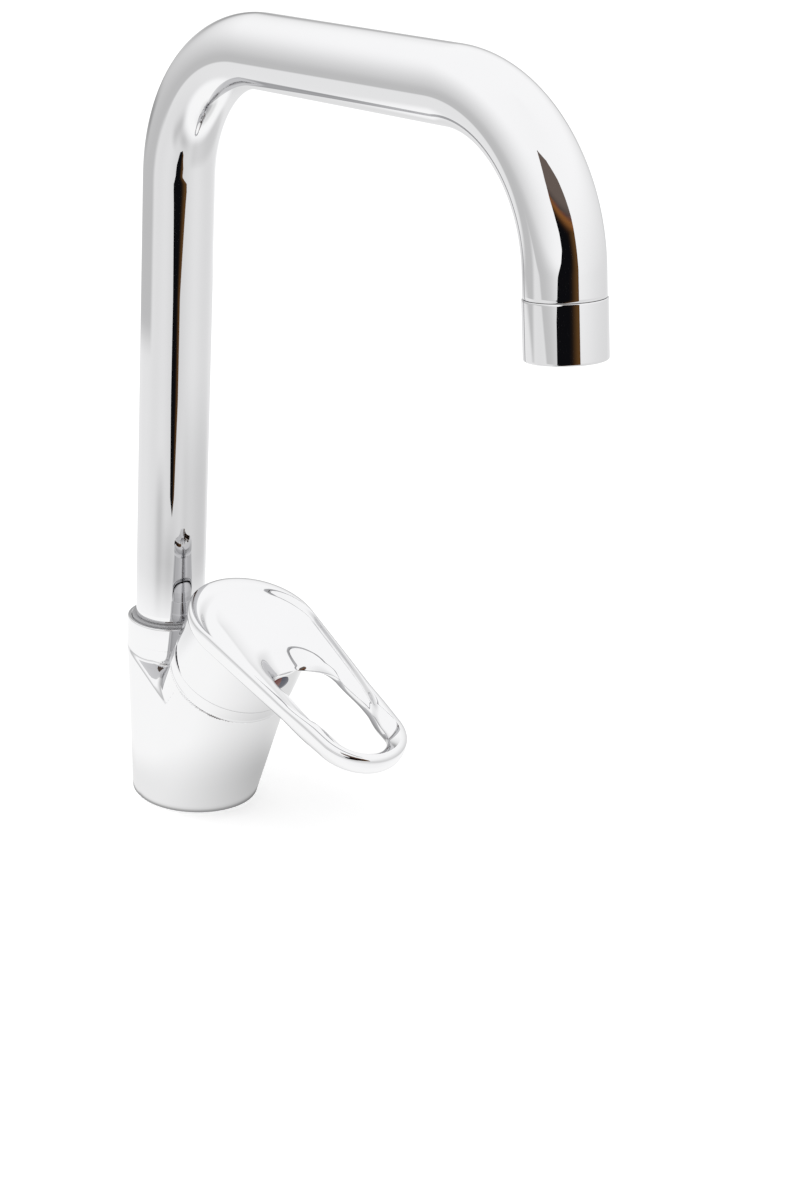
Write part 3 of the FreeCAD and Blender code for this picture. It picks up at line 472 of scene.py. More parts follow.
def body_surface(s, h, around=440, sides=34, above=190):
    """The casting's outer wall, found along rays: level rays from a post up to its middle, and above it rays
    that fan up from one point, closer together behind. Vertex normals are the gradient of the distance.
    The foot is closed by a flat face with the stud hole and two hose inlets."""
    post, middle, closer_behind = -2.0, 30.0, 0.4
    turn = np.linspace(0, 2 * math.pi, around, endpoint=False)
    turn = turn + closer_behind * np.sin(turn)
    level = middle * (1 - np.cos(np.linspace(0, math.pi / 2, sides, endpoint=False)))
    level[0] = 1e-4
    heights = np.concatenate([level, np.full(above, middle)])
    rise = np.concatenate([np.zeros(sides), np.linspace(0, math.pi / 2, above, endpoint=False)])[:, None]
    starts = np.zeros((sides + above, around, 3))
    starts[..., 0] = post
    starts[..., 2] = heights[:, None]
    level_part = np.cos(rise)
    directions = np.stack([level_part * np.cos(turn), level_part * np.sin(turn), np.sin(rise) + 0 * turn],
                          axis=-1)

    def distance(points):
        return body_distance(points, s, h)

    rows = starts + directions * first_crossing(distance, starts, directions)[..., None]
    rows[0, :, 2] = 0.0
    top_start, upward = np.array([[post, 0.0, middle]]), np.array([[0.0, 0.0, 1.0]])
    top = top_start + upward * first_crossing(distance, top_start, upward)[:, None]
    stud_depth, inlet_depth = 12.0, 14.0
    holes = [(0.0, 0.0, s.stud_hole, stud_depth)]
    holes += [(0.0, side * s.inlet_offset, s.inlet_hole, inlet_depth) for side in (1, -1)]
    obj = with_drilled_foot("body_skin", rows, top[0], holes)
    count, step = rows.shape[0] * rows.shape[1], 0.02
    points = rows.reshape(-1, 3)
    normals = np.stack([distance(points + d) - distance(points - d) for d in step * np.eye(3)], axis=-1)
    normals /= np.linalg.norm(normals, axis=1, keepdims=True)
    ready = np.zeros((len(obj.data.vertices), 3))
    obj.data.vertices.foreach_get("normal", ready.ravel())
    ready[around:count] = normals[around:]
    obj.data.normals_split_custom_set_from_vertices(ready.tolist())
    return obj


def with_drilled_foot(name, rows, top, holes, facets=48):
    """Closes rings, of which the first lies flat, with a pole above and a flat foot that has blind round
    holes, each given as its centre's x and y, its radius and its depth."""
    around = rows.shape[1]
    points = rows.reshape(-1, 3).tolist() + [top.tolist()]
    faces = lattice(*rows.shape[:2], close_rings=False)
    pole = len(points) - 1
    last = np.arange(pole - around, pole)
    faces += [[a, b, pole] for a, b in zip(last.tolist(), np.roll(last, -1).tolist())]
    loops, order = [[Vector((x, y, 0)) for x, y, _ in rows[0]]], list(range(around))
    turn = np.linspace(0, 2 * math.pi, facets, endpoint=False)
    for x, y, radius, depth in holes:
        mouth = [[x + radius * math.cos(a), y + radius * math.sin(a), 0.0] for a in turn]
        floor = [[px, py, depth] for px, py, _ in mouth]
        start = len(points)
        points += mouth + floor
        loops.append([Vector(p) for p in mouth])
        order += range(start, start + facets)
        for k in range(facets):
            n = (k + 1) % facets
            faces.append([start + k, start + facets + k, start + facets + n, start + n])
        faces.append([start + facets + k for k in range(facets)])
    faces += [[order[i] for i in triangle] for triangle in tessellate_polygon(loops)]
    mesh = bpy.data.meshes.new(name)
    mesh.from_pydata((np.array(points) * MM).tolist(), [], faces)
    mesh.update()
    face_outward(mesh)
    deck = 1e-7
    smooth = [any(mesh.vertices[v].co.z >= deck for v in face.vertices) for face in mesh.polygons]
    mesh.polygons.foreach_set("use_smooth", smooth)
    return in_scene(name, mesh)


def face_outward(mesh):
    """Turns all faces of a closed mesh the same way, and that way outward."""
    work = bmesh.new()
    work.from_mesh(mesh)
    bmesh.ops.recalc_face_normals(work, faces=work.faces)
    work.to_mesh(mesh)
    work.free()
    if signed_volume(mesh) < 0:
        mesh.flip_normals()


def collar_surface(s):
    """The spout's collar, turned about the riser: wall, rim and the step on which the slide ring lies."""
    bore, seat, r = 10.6, 15.75, s.collar_radius
    ledge, top, start = s.tube_foot - 2.05, s.collar_height, s.collar_height - 9.5
    outline = softened([(r, start, 0.02), (r, top, 0.35), (seat, top, 0.3), (seat, ledge, 0.1),
                        (bore, ledge, 0.1), (bore, start, 0.2)])
    return turned("collar_skin", outline, tilted(-s.collar_setback, 0, 0))


def slide_ring_surface(s):
    """The flat plastic ring under the tube's foot, with a rounded upper edge."""
    bore, r = 10.65, 15.6
    low, high = s.tube_foot - 2.05, s.tube_foot - 0.1
    outline = softened([(bore, low, 0.1), (r, low, 0.1), (r, high, 0.45), (bore, high, 0.1)])
    return turned("slide_ring_skin", outline, tilted(-s.collar_setback, 0, 0))


# ---------------------------------------------------------------- head and lever surfaces
def ring_surface(h):
    """The cover ring, turned about the head's axis: a band flush with the neck, with a thin lip over the
    seam, and above it the skirt that the bell hides, which narrows upward."""
    r, top, bore, skirt_top = h.neck_radius, h.ring_height, 21.9, 16.0
    lip = r + 0.08
    outline = softened([(lip, -0.3, 0.03), (lip, 0.5, 0.3), (r, 0.9, 0.3), (r, top, 0.25), (22.7, top, 0.1),
                        (22.75, 8.0, 1.0), (22.7, 10.0, 4.0), (22.25, 13.2, 4.0), (21.85, skirt_top, 0.2),
                        (21.05, skirt_top, 0.2), (bore, 10.0, 3.0), (bore, 0.05, 0.1)])
    return turned("cover_ring_skin", outline, tilted(h.forward, h.height, h.tilt))


def lever_place(h):
    """The placing of the lever's middle plane, with its origin at the hub's centre."""
    origin, axes = tilted(h.forward, h.height, h.tilt)
    centre = np.array([-h.lever_setback, 0, h.lever_height]) @ axes + origin
    return tilted(centre[0], centre[2], h.lever_tilt)


def bell_surface(h, around=240):
    """Side wall of the lever's bell: a tube whose lower end is relieved behind for the lift and whose upper
    end follows the lever's plate, lower in front where the finger scoop passes."""
    gap, under_plate, under_scoop, scoop_half = 0.4, 0.6, 5.9, 9.5
    outer, inner = h.bell_radius, h.bell_radius - 2.3
    outer_shares = (0.012, 0.03, 0.1, 0.2, 0.35, 0.5, 0.65, 0.8, 0.9, 1.0)
    inner_shares = (1.0, 0.6, 0.3, 0.03, 0.012)
    end_insets = (2.15, 1.6, 0.7, 0.12)
    turn = np.linspace(0, 2 * math.pi, around, endpoint=False)
    relative, lift = math.radians(h.tilt - h.lever_tilt), math.radians(h.lift)

    def ring(radius, share):
        u, v = radius * np.cos(turn), radius * np.sin(turn)
        low = h.ring_height + gap + np.maximum(-u, 0) * math.tan(lift)
        drop = under_plate + under_scoop * np.exp(-(v / scoop_half) ** 4) * (u > 0)
        high = h.lever_height + (u + h.lever_setback) * math.tan(relative) - drop / math.cos(relative)
        return np.stack([u, v, low + (high - low) * share], axis=-1)

    rings = [ring(outer, share) for share in outer_shares]
    rings += [ring(inner, share) for share in inner_shares]
    rings += [ring(outer - inset, 0.0) for inset in end_insets]
    return skin("lever_bell_skin", moved(np.array(rings), tilted(h.forward, h.height, h.tilt)))


def crest(share, stop=0.68):
    """A rise, half straight and half a quarter ellipse that stops short of level, so that two of them meet
    in a narrow crest."""
    share = np.clip(share, 0, 1)
    return 0.5 * share + 0.5 * np.sqrt(1 - (1 - stop * share) ** 2) / math.sqrt(1 - (1 - stop) ** 2)


def shoulder(share, slope=0.15, stop=0.8):
    """A rise that is steep at first, turns over in a tight round and goes on up at an even, slight slope."""
    share = np.clip(share, 0, 1)
    return slope * share + (1 - slope) * (1 - (1 - stop * share) ** 4) ** 0.25


def round_edge(share):
    """A quarter circle: steep at 0 and level at 1."""
    return np.sqrt(np.clip(1 - (1 - np.clip(share, 0, 1)) ** 2, 0, 1))


def thumb_recess(u, v):
    """Depth of the recess in the hub: a trough with a round rear end that widens and opens forward, its side
    a parabola in the distance from its edge."""
    centre, half_width, widening, depth, side = 0.5, 15.6, 0.09, 1.7, 11.0
    ahead = u - centre
    inside = np.where(ahead < 0, half_width - np.hypot(ahead, v),
                      half_width + widening * np.clip(ahead, 0, 22) - np.abs(v))
    return depth * (1 - (1 - np.clip(inside / side, 0, 1)) ** 2) * (1 - ease(45, 70, u))


def finger_scoop(u, v):
    """Height of the bowl before the opening: a paraboloid that is longer than wide."""
    centre, half_length, half_width, rise, floor = 31.0, 20.0, 14.0, 7.2, -6.0
    return rise * (((u - centre) / half_length) ** 2 + (v / half_width) ** 2) + floor


def lever_surface(h, across=40):
    """The loop: rings that run from the outer outline over a crest to the opening and back underneath.
    Height over the middle plane: up to a narrow ridge, from there level or, on the hub, down again to the
    thumb recess, and before the opening down to the finger scoop. Behind the opening the rim lies lower."""
    outer = nested_hull(h.tip_reach, h.tip_radius, 0, h.hub_radius)
    inner = nested_hull(h.opening_front, h.opening_front_radius, h.opening_rear, h.opening_rear_radius,
                        bow=h.opening_bow)
    rim_setback, rim_drop = 3.6, 5.6
    behind = ease(30.0, 44.0, 74.0 - inner[:, 0])
    inner = inner - np.stack([rim_setback * behind, 0 * behind], axis=-1)
    edge = -rim_drop * behind
    width = np.linalg.norm(inner - outer, axis=1)
    hub = ease(10.0, 18.0, width)
    ridge = 0.40 * width * (1 - hub) + 5.6 * hub
    crown, under = 4.0 - 0.9 * hub, 5.4 - 1.4 * hub
    fall = np.minimum(width - ridge, 5.2) * (1 - behind) + 1.2 * behind
    dish_side, scoop_blend, least_wall, outer_round, inner_round = 4.8, 1.4, 0.9, 4.0, 3.6

    def top_height(xy, from_outer, from_inner):
        down = np.clip((from_outer - ridge) / dish_side, 0, 1)
        floor = crown - hub * (0.9 * down + 1.1 * ease(0, 1, down)) - thumb_recess(xy[:, 0], xy[:, 1])
        floor = smooth_low(floor, finger_scoop(xy[:, 0], xy[:, 1]), scoop_blend)
        rounded = edge + (floor - edge) * crest(from_inner / fall)
        outside = np.minimum(rounded, crown * shoulder(from_outer / ridge))
        return np.where(from_outer < ridge, outside, rounded)

    bend = 0.5 - 0.5 * np.cos(np.linspace(0, math.pi, across))
    turn = ridge / width
    shares = [turn * b for b in bend[:-1]] + [turn + (1 - turn) * b for b in bend]
    rows = []
    for share in shares:
        xy = outer + (inner - outer) * share[:, None]
        rows.append(np.column_stack([xy, top_height(xy, share * width, (1 - share) * width)]))
    for share in shares[::-1][1:-1]:
        xy = outer + (inner - outer) * share[:, None]
        top = top_height(xy, share * width, (1 - share) * width)
        outward = round_edge(share * width / np.minimum(0.5 * width, outer_round))
        inward = round_edge((1 - share) * width / np.minimum(0.5 * width, inner_round))
        low = -under * outward * inward + edge * (1 - inward)
        rows.append(np.column_stack([xy, np.minimum(low, top - least_wall * inward * outward)]))
    return skin("lever_loop_skin", moved(np.array(rows), lever_place(h)))


def button_surface(h):
    """The indicator button, turned about a line that runs forward from inside the bell's wall: a short
    cylinder with a domed face."""
    origin, axes = tilted(h.forward, h.height, h.tilt)
    r, height, inset, middle = h.button_radius, 24.0, 3.35, 0.02
    centre = np.array([h.bell_radius - inset, 0, height]) @ axes + origin
    outline = softened([(middle, 0.0, 0.005), (r, 0.0, 0.1), (r, 3.5, 0.55), (2.2, 3.85, 2.0),
                        (middle, 3.9, 0.005)])
    return turned("indicator_button_skin", outline, tilted(centre[0], centre[2], h.tilt + 90), turns=72)


# ---------------------------------------------------------------- finishes
def polish_group():
    """Shared effect: fine roughness variation of a polished or moulded surface, in object coordinates.
    Roughness = base + spread times (cloud + 0.35 times a fine streak stretched along Z). Height = cloud."""
    if "polish_variation" in bpy.data.node_groups:
        return bpy.data.node_groups["polish_variation"]
    tree = bpy.data.node_groups.new("polish_variation", "ShaderNodeTree")
    for label, value in (("Base", 0.03), ("Spread", 0.02), ("Cloud Scale", 40.0), ("Streak Scale", 600.0)):
        socket = tree.interface.new_socket(label, in_out="INPUT", socket_type="NodeSocketFloat")
        socket.default_value = value
    for label in ("Roughness", "Height"):
        tree.interface.new_socket(label, in_out="OUTPUT", socket_type="NodeSocketFloat")
    nodes, links = tree.nodes, tree.links
    inputs, outputs = nodes.new("NodeGroupInput"), nodes.new("NodeGroupOutput")
    place = nodes.new("ShaderNodeTexCoord")
    cloud, streak = nodes.new("ShaderNodeTexNoise"), nodes.new("ShaderNodeTexNoise")
    cloud.inputs["Detail"].default_value = 3.0
    streak.inputs["Detail"].default_value = 2.0
    stretch = nodes.new("ShaderNodeMapping")
    stretch.inputs["Scale"].default_value = (1.0, 1.0, 0.08)
    links.new(place.outputs["Object"], cloud.inputs["Vector"])
    links.new(place.outputs["Object"], stretch.inputs["Vector"])
    links.new(stretch.outputs["Vector"], streak.inputs["Vector"])
    links.new(inputs.outputs["Cloud Scale"], cloud.inputs["Scale"])
    links.new(inputs.outputs["Streak Scale"], streak.inputs["Scale"])
    mixed, scaled = nodes.new("ShaderNodeMath"), nodes.new("ShaderNodeMath")
    mixed.operation = scaled.operation = "MULTIPLY_ADD"
    mixed.inputs[1].default_value = 0.35
    links.new(streak.outputs["Fac"], mixed.inputs[0])
    links.new(cloud.outputs["Fac"], mixed.inputs[2])
    links.new(mixed.outputs[0], scaled.inputs[0])
    links.new(inputs.outputs["Spread"], scaled.inputs[1])
    links.new(inputs.outputs["Base"], scaled.inputs[2])
    links.new(scaled.outputs[0], outputs.inputs["Roughness"])
    links.new(cloud.outputs["Fac"], outputs.inputs["Height"])
    return tree


def finish_material(name, color, metallic, base, spread, cloud_scale, bump, mottle=0.04,
                    specular=0.5, coat=0.0):
    """A principled material whose roughness, colour and height vary with the shared polish group."""
    if name in bpy.data.materials:
        return bpy.data.materials[name]
    material = bpy.data.materials.new(name)
    material.use_nodes = True
    nodes, links = material.node_tree.nodes, material.node_tree.links
    shader = nodes["Principled BSDF"]
    for label, value in (("Metallic", metallic), ("Specular IOR Level", specular), ("Coat Weight", coat)):
        shader.inputs[label].default_value = value
    polish = nodes.new("ShaderNodeGroup")
    polish.node_tree = polish_group()
    for label, value in (("Base", base), ("Spread", spread), ("Cloud Scale", cloud_scale)):
        polish.inputs[label].default_value = value
    links.new(polish.outputs["Roughness"], shader.inputs["Roughness"])
    ramp = nodes.new("ShaderNodeMix")
    ramp.data_type = "RGBA"
    ramp.inputs["A"].default_value = (*(max(0.0, c * (1 - mottle)) for c in color), 1.0)
    ramp.inputs["B"].default_value = (*(min(1.0, c * (1 + mottle)) for c in color), 1.0)
    links.new(polish.outputs["Height"], ramp.inputs["Factor"])
    links.new(ramp.outputs["Result"], shader.inputs["Base Color"])
    relief = nodes.new("ShaderNodeBump")
    relief.inputs["Strength"].default_value = bump
    relief.inputs["Distance"].default_value = 0.0002
    links.new(polish.outputs["Height"], relief.inputs["Height"])
    links.new(relief.outputs["Normal"], shader.inputs["Normal"])
    return material


def tint_over(material, tint, blend, factor):
    """Mixes a tint into the material's base colour, as far as the factor's socket says."""
    nodes, links = material.node_tree.nodes, material.node_tree.links
    shader = nodes["Principled BSDF"]
    mix = nodes.new("ShaderNodeMix")
    mix.data_type, mix.blend_type = "RGBA", blend
    mix.inputs["B"].default_value = (*tint, 1.0)
    links.new(factor, mix.inputs["Factor"])
    links.new(shader.inputs["Base Color"].links[0].from_socket, mix.inputs["A"])
    links.new(mix.outputs["Result"], shader.inputs["Base Color"])
    return material


def chrome(c):
    """Polished chrome with painted shade: glossy rays see it through a darkening tint, so its image in another
    chromed wall is darker than the wall itself.
    """
    if "polished_chrome" in bpy.data.materials:
        return bpy.data.materials["polished_chrome"]
    material = finish_material("polished_chrome", c.chrome, 1.0, 0.01, 0.015, 30.0, 0.0, mottle=0.01)
    path = material.node_tree.nodes.new("ShaderNodeLightPath")
    # painted shade on glossy rays: chrome seen in chrome is darkened by the tint
    return tint_over(material, c.chrome_reflected_painted_shade, "MULTIPLY", path.outputs["Is Glossy Ray"])


def button_material(c):
    """Glossy moulded button: dark blue, and dark red on the hot side, from 0.6 mm beside the middle."""
    if "indicator_button" in bpy.data.materials:
        return bpy.data.materials["indicator_button"]
    material = finish_material("indicator_button", c.cold, 0.0, 0.08, 0.06, 300.0, 0.05, mottle=0.1,
                               coat=0.6)
    nodes, links = material.node_tree.nodes, material.node_tree.links
    place, parts = nodes.new("ShaderNodeTexCoord"), nodes.new("ShaderNodeSeparateXYZ")
    side = nodes.new("ShaderNodeMath")
    side.operation = "LESS_THAN"
    side.inputs[1].default_value = -0.0006
    links.new(place.outputs["Object"], parts.inputs["Vector"])
    links.new(parts.outputs["Y"], side.inputs[0])
    return tint_over(material, c.hot, "MIX", side.outputs[0])


def materials_by_slot():
    """The material of each of the record's slots. After its name and colour come how metallic it is, its
    least roughness, the spread of that, the scale of its clouds and its bump."""
    c = plain(bpy.context.scene.mixer_finish)
    return {
        "chrome": chrome(c),
        "brass": finish_material("machined_brass", c.brass, 1.0, 0.22, 0.12, 180.0, 0.2),
        "steel": finish_material("turned_steel", c.steel, 1.0, 0.25, 0.12, 220.0, 0.2),
        "rubber": finish_material("black_rubber", c.rubber, 0.0, 0.62, 0.15, 400.0, 0.4),
        "plastic": finish_material("moulded_plastic", c.plastic, 0.0, 0.38, 0.12, 260.0, 0.2),
        "ceramic": finish_material("lapped_ceramic", c.ceramic, 0.0, 0.18, 0.08, 300.0, 0.1),
        "button": button_material(c),
    }


def grey_acetal():
    """The smooth grey plastic of the slide ring."""
    c = plain(bpy.context.scene.mixer_finish)
    return finish_material("grey_acetal", c.slide_ring, 0.0, 0.10, 0.05, 300.0, 0.02, specular=0.9, coat=0.5)


def dress(obj, slot, body, *nodes):
    """Gives a new piece the material of its record slot and its body, and hides the CAD nodes that it stands for.
    """
    obj.data.materials.clear()
    obj.data.materials.append(materials_by_slot()[slot])
    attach(obj, body)
    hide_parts(*nodes)
    return obj


# ---------------------------------------------------------------- stage
CAMERA_PLACE = (0.83232, -0.58196, 0.49092)
CAMERA_AXES = ((0.6199, 0.7831, 0.0503), (-0.3191, 0.1930, 0.9279), (0.7169, -0.5912, 0.3695))
KEY_DIRECTION = (0.14, 0.42, -0.9)
TOWARDS_CAMERA, ACROSS_VIEW = np.array([0.826, -0.564]), np.array([0.564, 0.826])


def seen_directly(nodes, links):
    """1 for camera, glossy and transmission rays, 0 for the rays that only carry light."""
    path = nodes.new("ShaderNodeLightPath")
    both, all_three = nodes.new("ShaderNodeMath"), nodes.new("ShaderNodeMath")
    both.operation = all_three.operation = "MAXIMUM"
    links.new(path.outputs["Is Camera Ray"], both.inputs[0])
    links.new(path.outputs["Is Glossy Ray"], both.inputs[1])
    links.new(both.outputs[0], all_three.inputs[0])
    links.new(path.outputs["Is Transmission Ray"], all_three.inputs[1])
    return all_three.outputs[0]


def floor_material(paper, glow):
    """White paper: it takes the object's shadow, and a little even glow keeps it white where it is seen."""
    material = bpy.data.materials.new("paper_floor")
    material.use_nodes = True
    nodes, links = material.node_tree.nodes, material.node_tree.links
    shader = nodes["Principled BSDF"]
    shader.inputs["Base Color"].default_value = (*paper, 1.0)
    shader.inputs["Roughness"].default_value = 0.95
    shader.inputs["Specular IOR Level"].default_value = 0.0
    shader.inputs["Emission Color"].default_value = (1.0, 1.0, 1.0, 1.0)
    level = nodes.new("ShaderNodeMath")
    level.operation = "MULTIPLY"
    level.inputs[1].default_value = glow
    links.new(seen_directly(nodes, links), level.inputs[0])
    links.new(level.outputs[0], shader.inputs["Emission Strength"])
    return material


def paper_floor(material, half=8.0, below=0.0001):
    """A wide square of paper, a hair below the foot."""
    mesh = bpy.data.meshes.new("floor")
    corners = [(-half, -half, -below), (half, -half, -below), (half, half, -below), (-half, half, -below)]
    mesh.from_pydata(corners, [], [(0, 1, 2, 3)])
    mesh.materials.append(material)
    obj = in_scene("floor", mesh)
    return obj


def painted_reflection_card(name, rows, shades, close_round=True):
    """A lattice of points, in metres, that shows only in reflections and glows with its own painted shade at each
    point: a painted reflection."""
    count, around = rows.shape[:2]
    mesh = bpy.data.meshes.new(name)
    mesh.from_pydata(rows.reshape(-1, 3).tolist(), [], lattice(count, around, False, close_round))
    colours = mesh.attributes.new("shade", "FLOAT_COLOR", "POINT")
    opaque = np.ones((count * around, 1))
    colours.data.foreach_set("color", np.hstack([shades.reshape(-1, 3), opaque]).ravel())
    material = bpy.data.materials.new(name)
    material.use_nodes = True
    nodes, links = material.node_tree.nodes, material.node_tree.links
    nodes.clear()
    out, glow = nodes.new("ShaderNodeOutputMaterial"), nodes.new("ShaderNodeEmission")
    shade = nodes.new("ShaderNodeAttribute")
    shade.attribute_name = "shade"
    links.new(shade.outputs["Color"], glow.inputs["Color"])
    links.new(glow.outputs[0], out.inputs["Surface"])
    mesh.materials.append(material)
    obj = in_scene(name, mesh)
    obj.visible_camera = obj.visible_diffuse = obj.visible_shadow = False
    return obj


def from_riser(radius, turn, height):
    """Points, in metres, at a distance from the riser's axis; turn is in degrees from the camera's side,
    growing to the right of the picture."""
    turn = np.radians(turn) + 0.0 * radius
    ahead, aside = (radius * np.cos(turn))[..., None], (radius * np.sin(turn))[..., None]
    flat = ahead * TOWARDS_CAMERA + aside * ACROSS_VIEW + np.array([-RISER_SETBACK * MM, 0.0])
    return np.concatenate([flat, (height + 0.0 * turn)[..., None]], axis=-1)


def tent():
    """The light tent round the object as a painted reflection: a lattice of rings about the riser that shows only
    in reflections. Its floor fades from white near the foot to a painted light grey with soft streaks, darker to
    the left behind and white far behind. Its wall is white in front, and elsewhere rises from painted grey at its
    base to white overhead, with painted dark clouds low down behind."""
    wall, inner, top, dome = 1.2, 0.17, 1.7, 0.6
    sweep = np.linspace(0.1, 1.5, 10)
    reach = np.concatenate([np.linspace(inner, 0.8, 28), np.linspace(0.84, wall, 8), np.full(40, wall),
                            wall * np.cos(sweep)])
    height = np.concatenate([np.full(36, 0.001), np.linspace(0.02, top, 40), top + dome * np.sin(sweep)])
    radius, turn = np.meshgrid(reach, np.linspace(-180, 180, 180, endpoint=False), indexing="ij")
    z = np.repeat(height[:, None], turn.shape[1], axis=1)
    away = np.abs(turn)

    # painted reflection: grey floor with soft streaks, darker to the left behind
    floor = 0.75 + 0.08 * hump(away, 150, 25)
    for amount, middle, width in ((0.06, 58, 25), (-0.05, 5, 22), (0.05, -40, 20), (0.07, -105, 35)):
        floor = floor + amount * hump(turn, middle, width)
    floor = floor - 0.22 * hump(turn, -42, 14) * ease(0.45, 0.33, radius)
    floor = floor - 0.15 * hump(turn, -12, 20) * ease(0.34, 0.26, radius)
    floor = floor - 0.12 * ease(20, 45, turn) * ease(150, 130, turn) * ease(0.60, 0.36, radius)
    left_behind = ease(-80, -95, turn) * ease(-172, -160, turn) * ease(0.60, 0.70, radius)
    floor = floor - (floor - 0.54) * left_behind
    far_behind = (ease(140, 165, turn) + ease(-168, -178, turn)) * ease(0.76, 0.88, radius)
    floor = floor + (1.0 - floor) * far_behind
    floor = 1.0 + (floor - 1.0) * ease(inner, 0.26, radius)

    # painted reflection: grey at the wall's base rising to white overhead, with painted dark clouds low down
    # behind
    base = 0.54 + 0.2 * ease(-60, 60, turn)
    side = base + (1.0 - base) * ease(-0.1, 1.25, z)
    side = side + (0.98 - side) * hump(away, 0, 62) * ease(0.05, 0.3, z)
    side = side - 0.25 * hump(z, 0.12, 0.07) * ease(130, 150, away)
    side = side - 0.50 * hump(turn, 156, 14) * hump(z, 0.33, 0.05)
    side = side - 0.42 * hump(away, 180, 22) * hump(z, 0.50, 0.16)
    grey = np.where(z < 0.01, floor, side)
    painted_reflection_card("tent", from_riser(radius, turn, z), grey[..., None] * np.array([1.0, 1.0, 1.005]))


def foot_painted_shadow_card():
    """The floor close to the foot, about the stud, as seen in reflections, with painted shadow: dark under the
    edge, grey to the right, pale to the left, and white further out."""
    above_floor = 0.0007
    reach = np.concatenate([np.linspace(0.018, 0.03, 13), np.linspace(0.032, 0.2, 36)])
    radius, turn = np.meshgrid(reach, np.linspace(-180, 180, 120, endpoint=False), indexing="ij")
    # painted shadow: the body's shadow on the floor, grey to the right and pale to the left
    right = ease(-50, 90, turn) * (1 - 0.6 * ease(150, 180, turn))
    near, middle = 0.87 - 0.37 * right, 1.0 - 0.24 * right
    grey = near + (middle - near) * ease(0.036, 0.068, radius)
    grey = grey + (1.0 - grey) * ease(0.08, 0.12, radius)
    # painted contact shadow: a dark band right under the foot's edge
    grey = grey * (0.35 + 0.65 * ease(0.0255, 0.0275, radius))
    about_stud = np.array([RISER_SETBACK * MM, 0.0, 0.0])
    points = from_riser(radius, turn, above_floor + 0 * turn) + about_stud
    painted_reflection_card("foot_painted_shadow_card", points, grey[..., None] * np.ones(3))


def tent_opening():
    """Painted reflection of the dark opening that the camera looks through: a narrow strip of floor that widens
    away from the object, and above it a tapering gap in the wall, black on its left and brown on its right. Rows
    give the gap's height, or the strip's distance from the riser, in metres, and both edges in degrees."""
    gap = [(0.0, -20, 31), (0.14, -20, 31.5), (0.2, -14, 31), (0.3, -7, 31), (0.41, -3.5, 30),
           (0.54, -6, 29), (0.63, -10, 28.5), (0.79, -16, 27), (1.0, -18, 22.5), (1.24, -18, 16),
           (1.34, -18, 11), (1.54, -18, -1), (1.58, -17.5, -17)]
    strip = [(0.33, -1.2, -1.0), (0.36, -8.4, 4.5), (0.53, -11.7, 10.7), (0.76, -11.6, 10.5),
             (1.02, -15.1, 22.4), (1.17, -20, 31)]
    wall, above_floor, rows = 1.17, 0.002, 60
    black = np.array([0.004, 0.004, 0.005])
    share = np.linspace(0, 1, 9)[None, :]
    for name, edges, standing in (("opening_gap", gap, True), ("opening_strip", strip, False)):
        steps = np.linspace(0, 1, len(edges))
        along, left, right = (np.interp(np.linspace(0, 1, rows), steps, column)[:, None]
                              for column in np.array(edges).T)
        turn = left + (right - left) * share
        along = along + 0 * turn
        height = along if standing else 0 * along
        if standing:
            points = from_riser(wall, turn, along)
        else:
            points = from_riser(along, turn, above_floor)
        # painted reflection: brown to the right, grey-brown higher up and a brown arc, over black
        brown = ease(0.55, 1.0, share + 0 * turn)[..., None] * np.array([0.11, 0.05, 0.012])
        upper = ease(0.72, 1.0, height + 0.1 * share)[..., None] * np.array([0.13, 0.10, 0.085])
        arc = hump(height + 0.12 * share, 0.80, 0.07)[..., None] * np.array([0.22, 0.085, 0.02])
        painted_reflection_card(name, points, np.maximum(np.maximum(brown, upper), arc) + black, close_round=False)


def surroundings(level_of_light):
    """Plain white surroundings that light at one level and are seen at full white."""
    world = bpy.data.worlds.new("tent")
    world.use_nodes = True
    nodes, links = world.node_tree.nodes, world.node_tree.links
    back = nodes["Background"]
    back.inputs["Color"].default_value = (1.0, 1.0, 1.0, 1.0)
    level = nodes.new("ShaderNodeMapRange")
    level.inputs["To Min"].default_value = level_of_light
    level.inputs["To Max"].default_value = 1.0
    links.new(seen_directly(nodes, links), level.inputs["Value"])
    links.new(level.outputs["Result"], back.inputs["Strength"])
    return world


def soft_lamp(strength, softness):
    """A soft distant lamp, high on the left, that isn't seen in the chrome."""
    lamp = bpy.data.lights.new("key", "SUN")
    lamp.energy, lamp.angle = strength, math.radians(softness)
    key = in_scene("key", lamp)
    key.rotation_euler = Vector(KEY_DIRECTION).to_track_quat("-Z", "Y").to_euler()
    key.visible_glossy = False
    return key


def view_camera(lens):
    """The camera, placed as the photograph was taken; its axes are right, up and back."""
    camera = bpy.data.cameras.new("camera")
    camera.lens, camera.sensor_fit, camera.sensor_height = lens, "VERTICAL", 36.0
    camera.clip_start, camera.clip_end = 0.05, 50.0
    seat = in_scene("camera", camera)
    seat.matrix_world = Matrix(CAMERA_AXES).transposed().to_4x4()
    seat.location = CAMERA_PLACE
    return seat


# ---------------------------------------------------------------- operators
class MIXER_OT_spout(bpy.types.Operator):
    """Build the bent tube and the outlet sleeve"""
    bl_idname = "mixer.spout"
    bl_label = "Build spout"

    def execute(self, context):
        s = plain(context.scene.mixer_spout)
        dress(tube_surface(s), "chrome", "spout", "spout_tube")
        dress(sleeve_surface(s), "chrome", "spout", "outlet_sleeve")
        return {"FINISHED"}


class MIXER_OT_body(bpy.types.Operator):
    """Build the body casting, its collar and the slide ring"""
    bl_idname = "mixer.body"
    bl_label = "Build body"

    def execute(self, context):
        s, h = plain(context.scene.mixer_body), plain(context.scene.mixer_head)
        dress(body_surface(s, h), "chrome", "body", "body_casting")
        dress(collar_surface(s), "chrome", "body", "body_casting")
        ring = dress(slide_ring_surface(s), "plastic", "body", "spout_slide_ring")
        ring.data.materials[0] = grey_acetal()
        return {"FINISHED"}


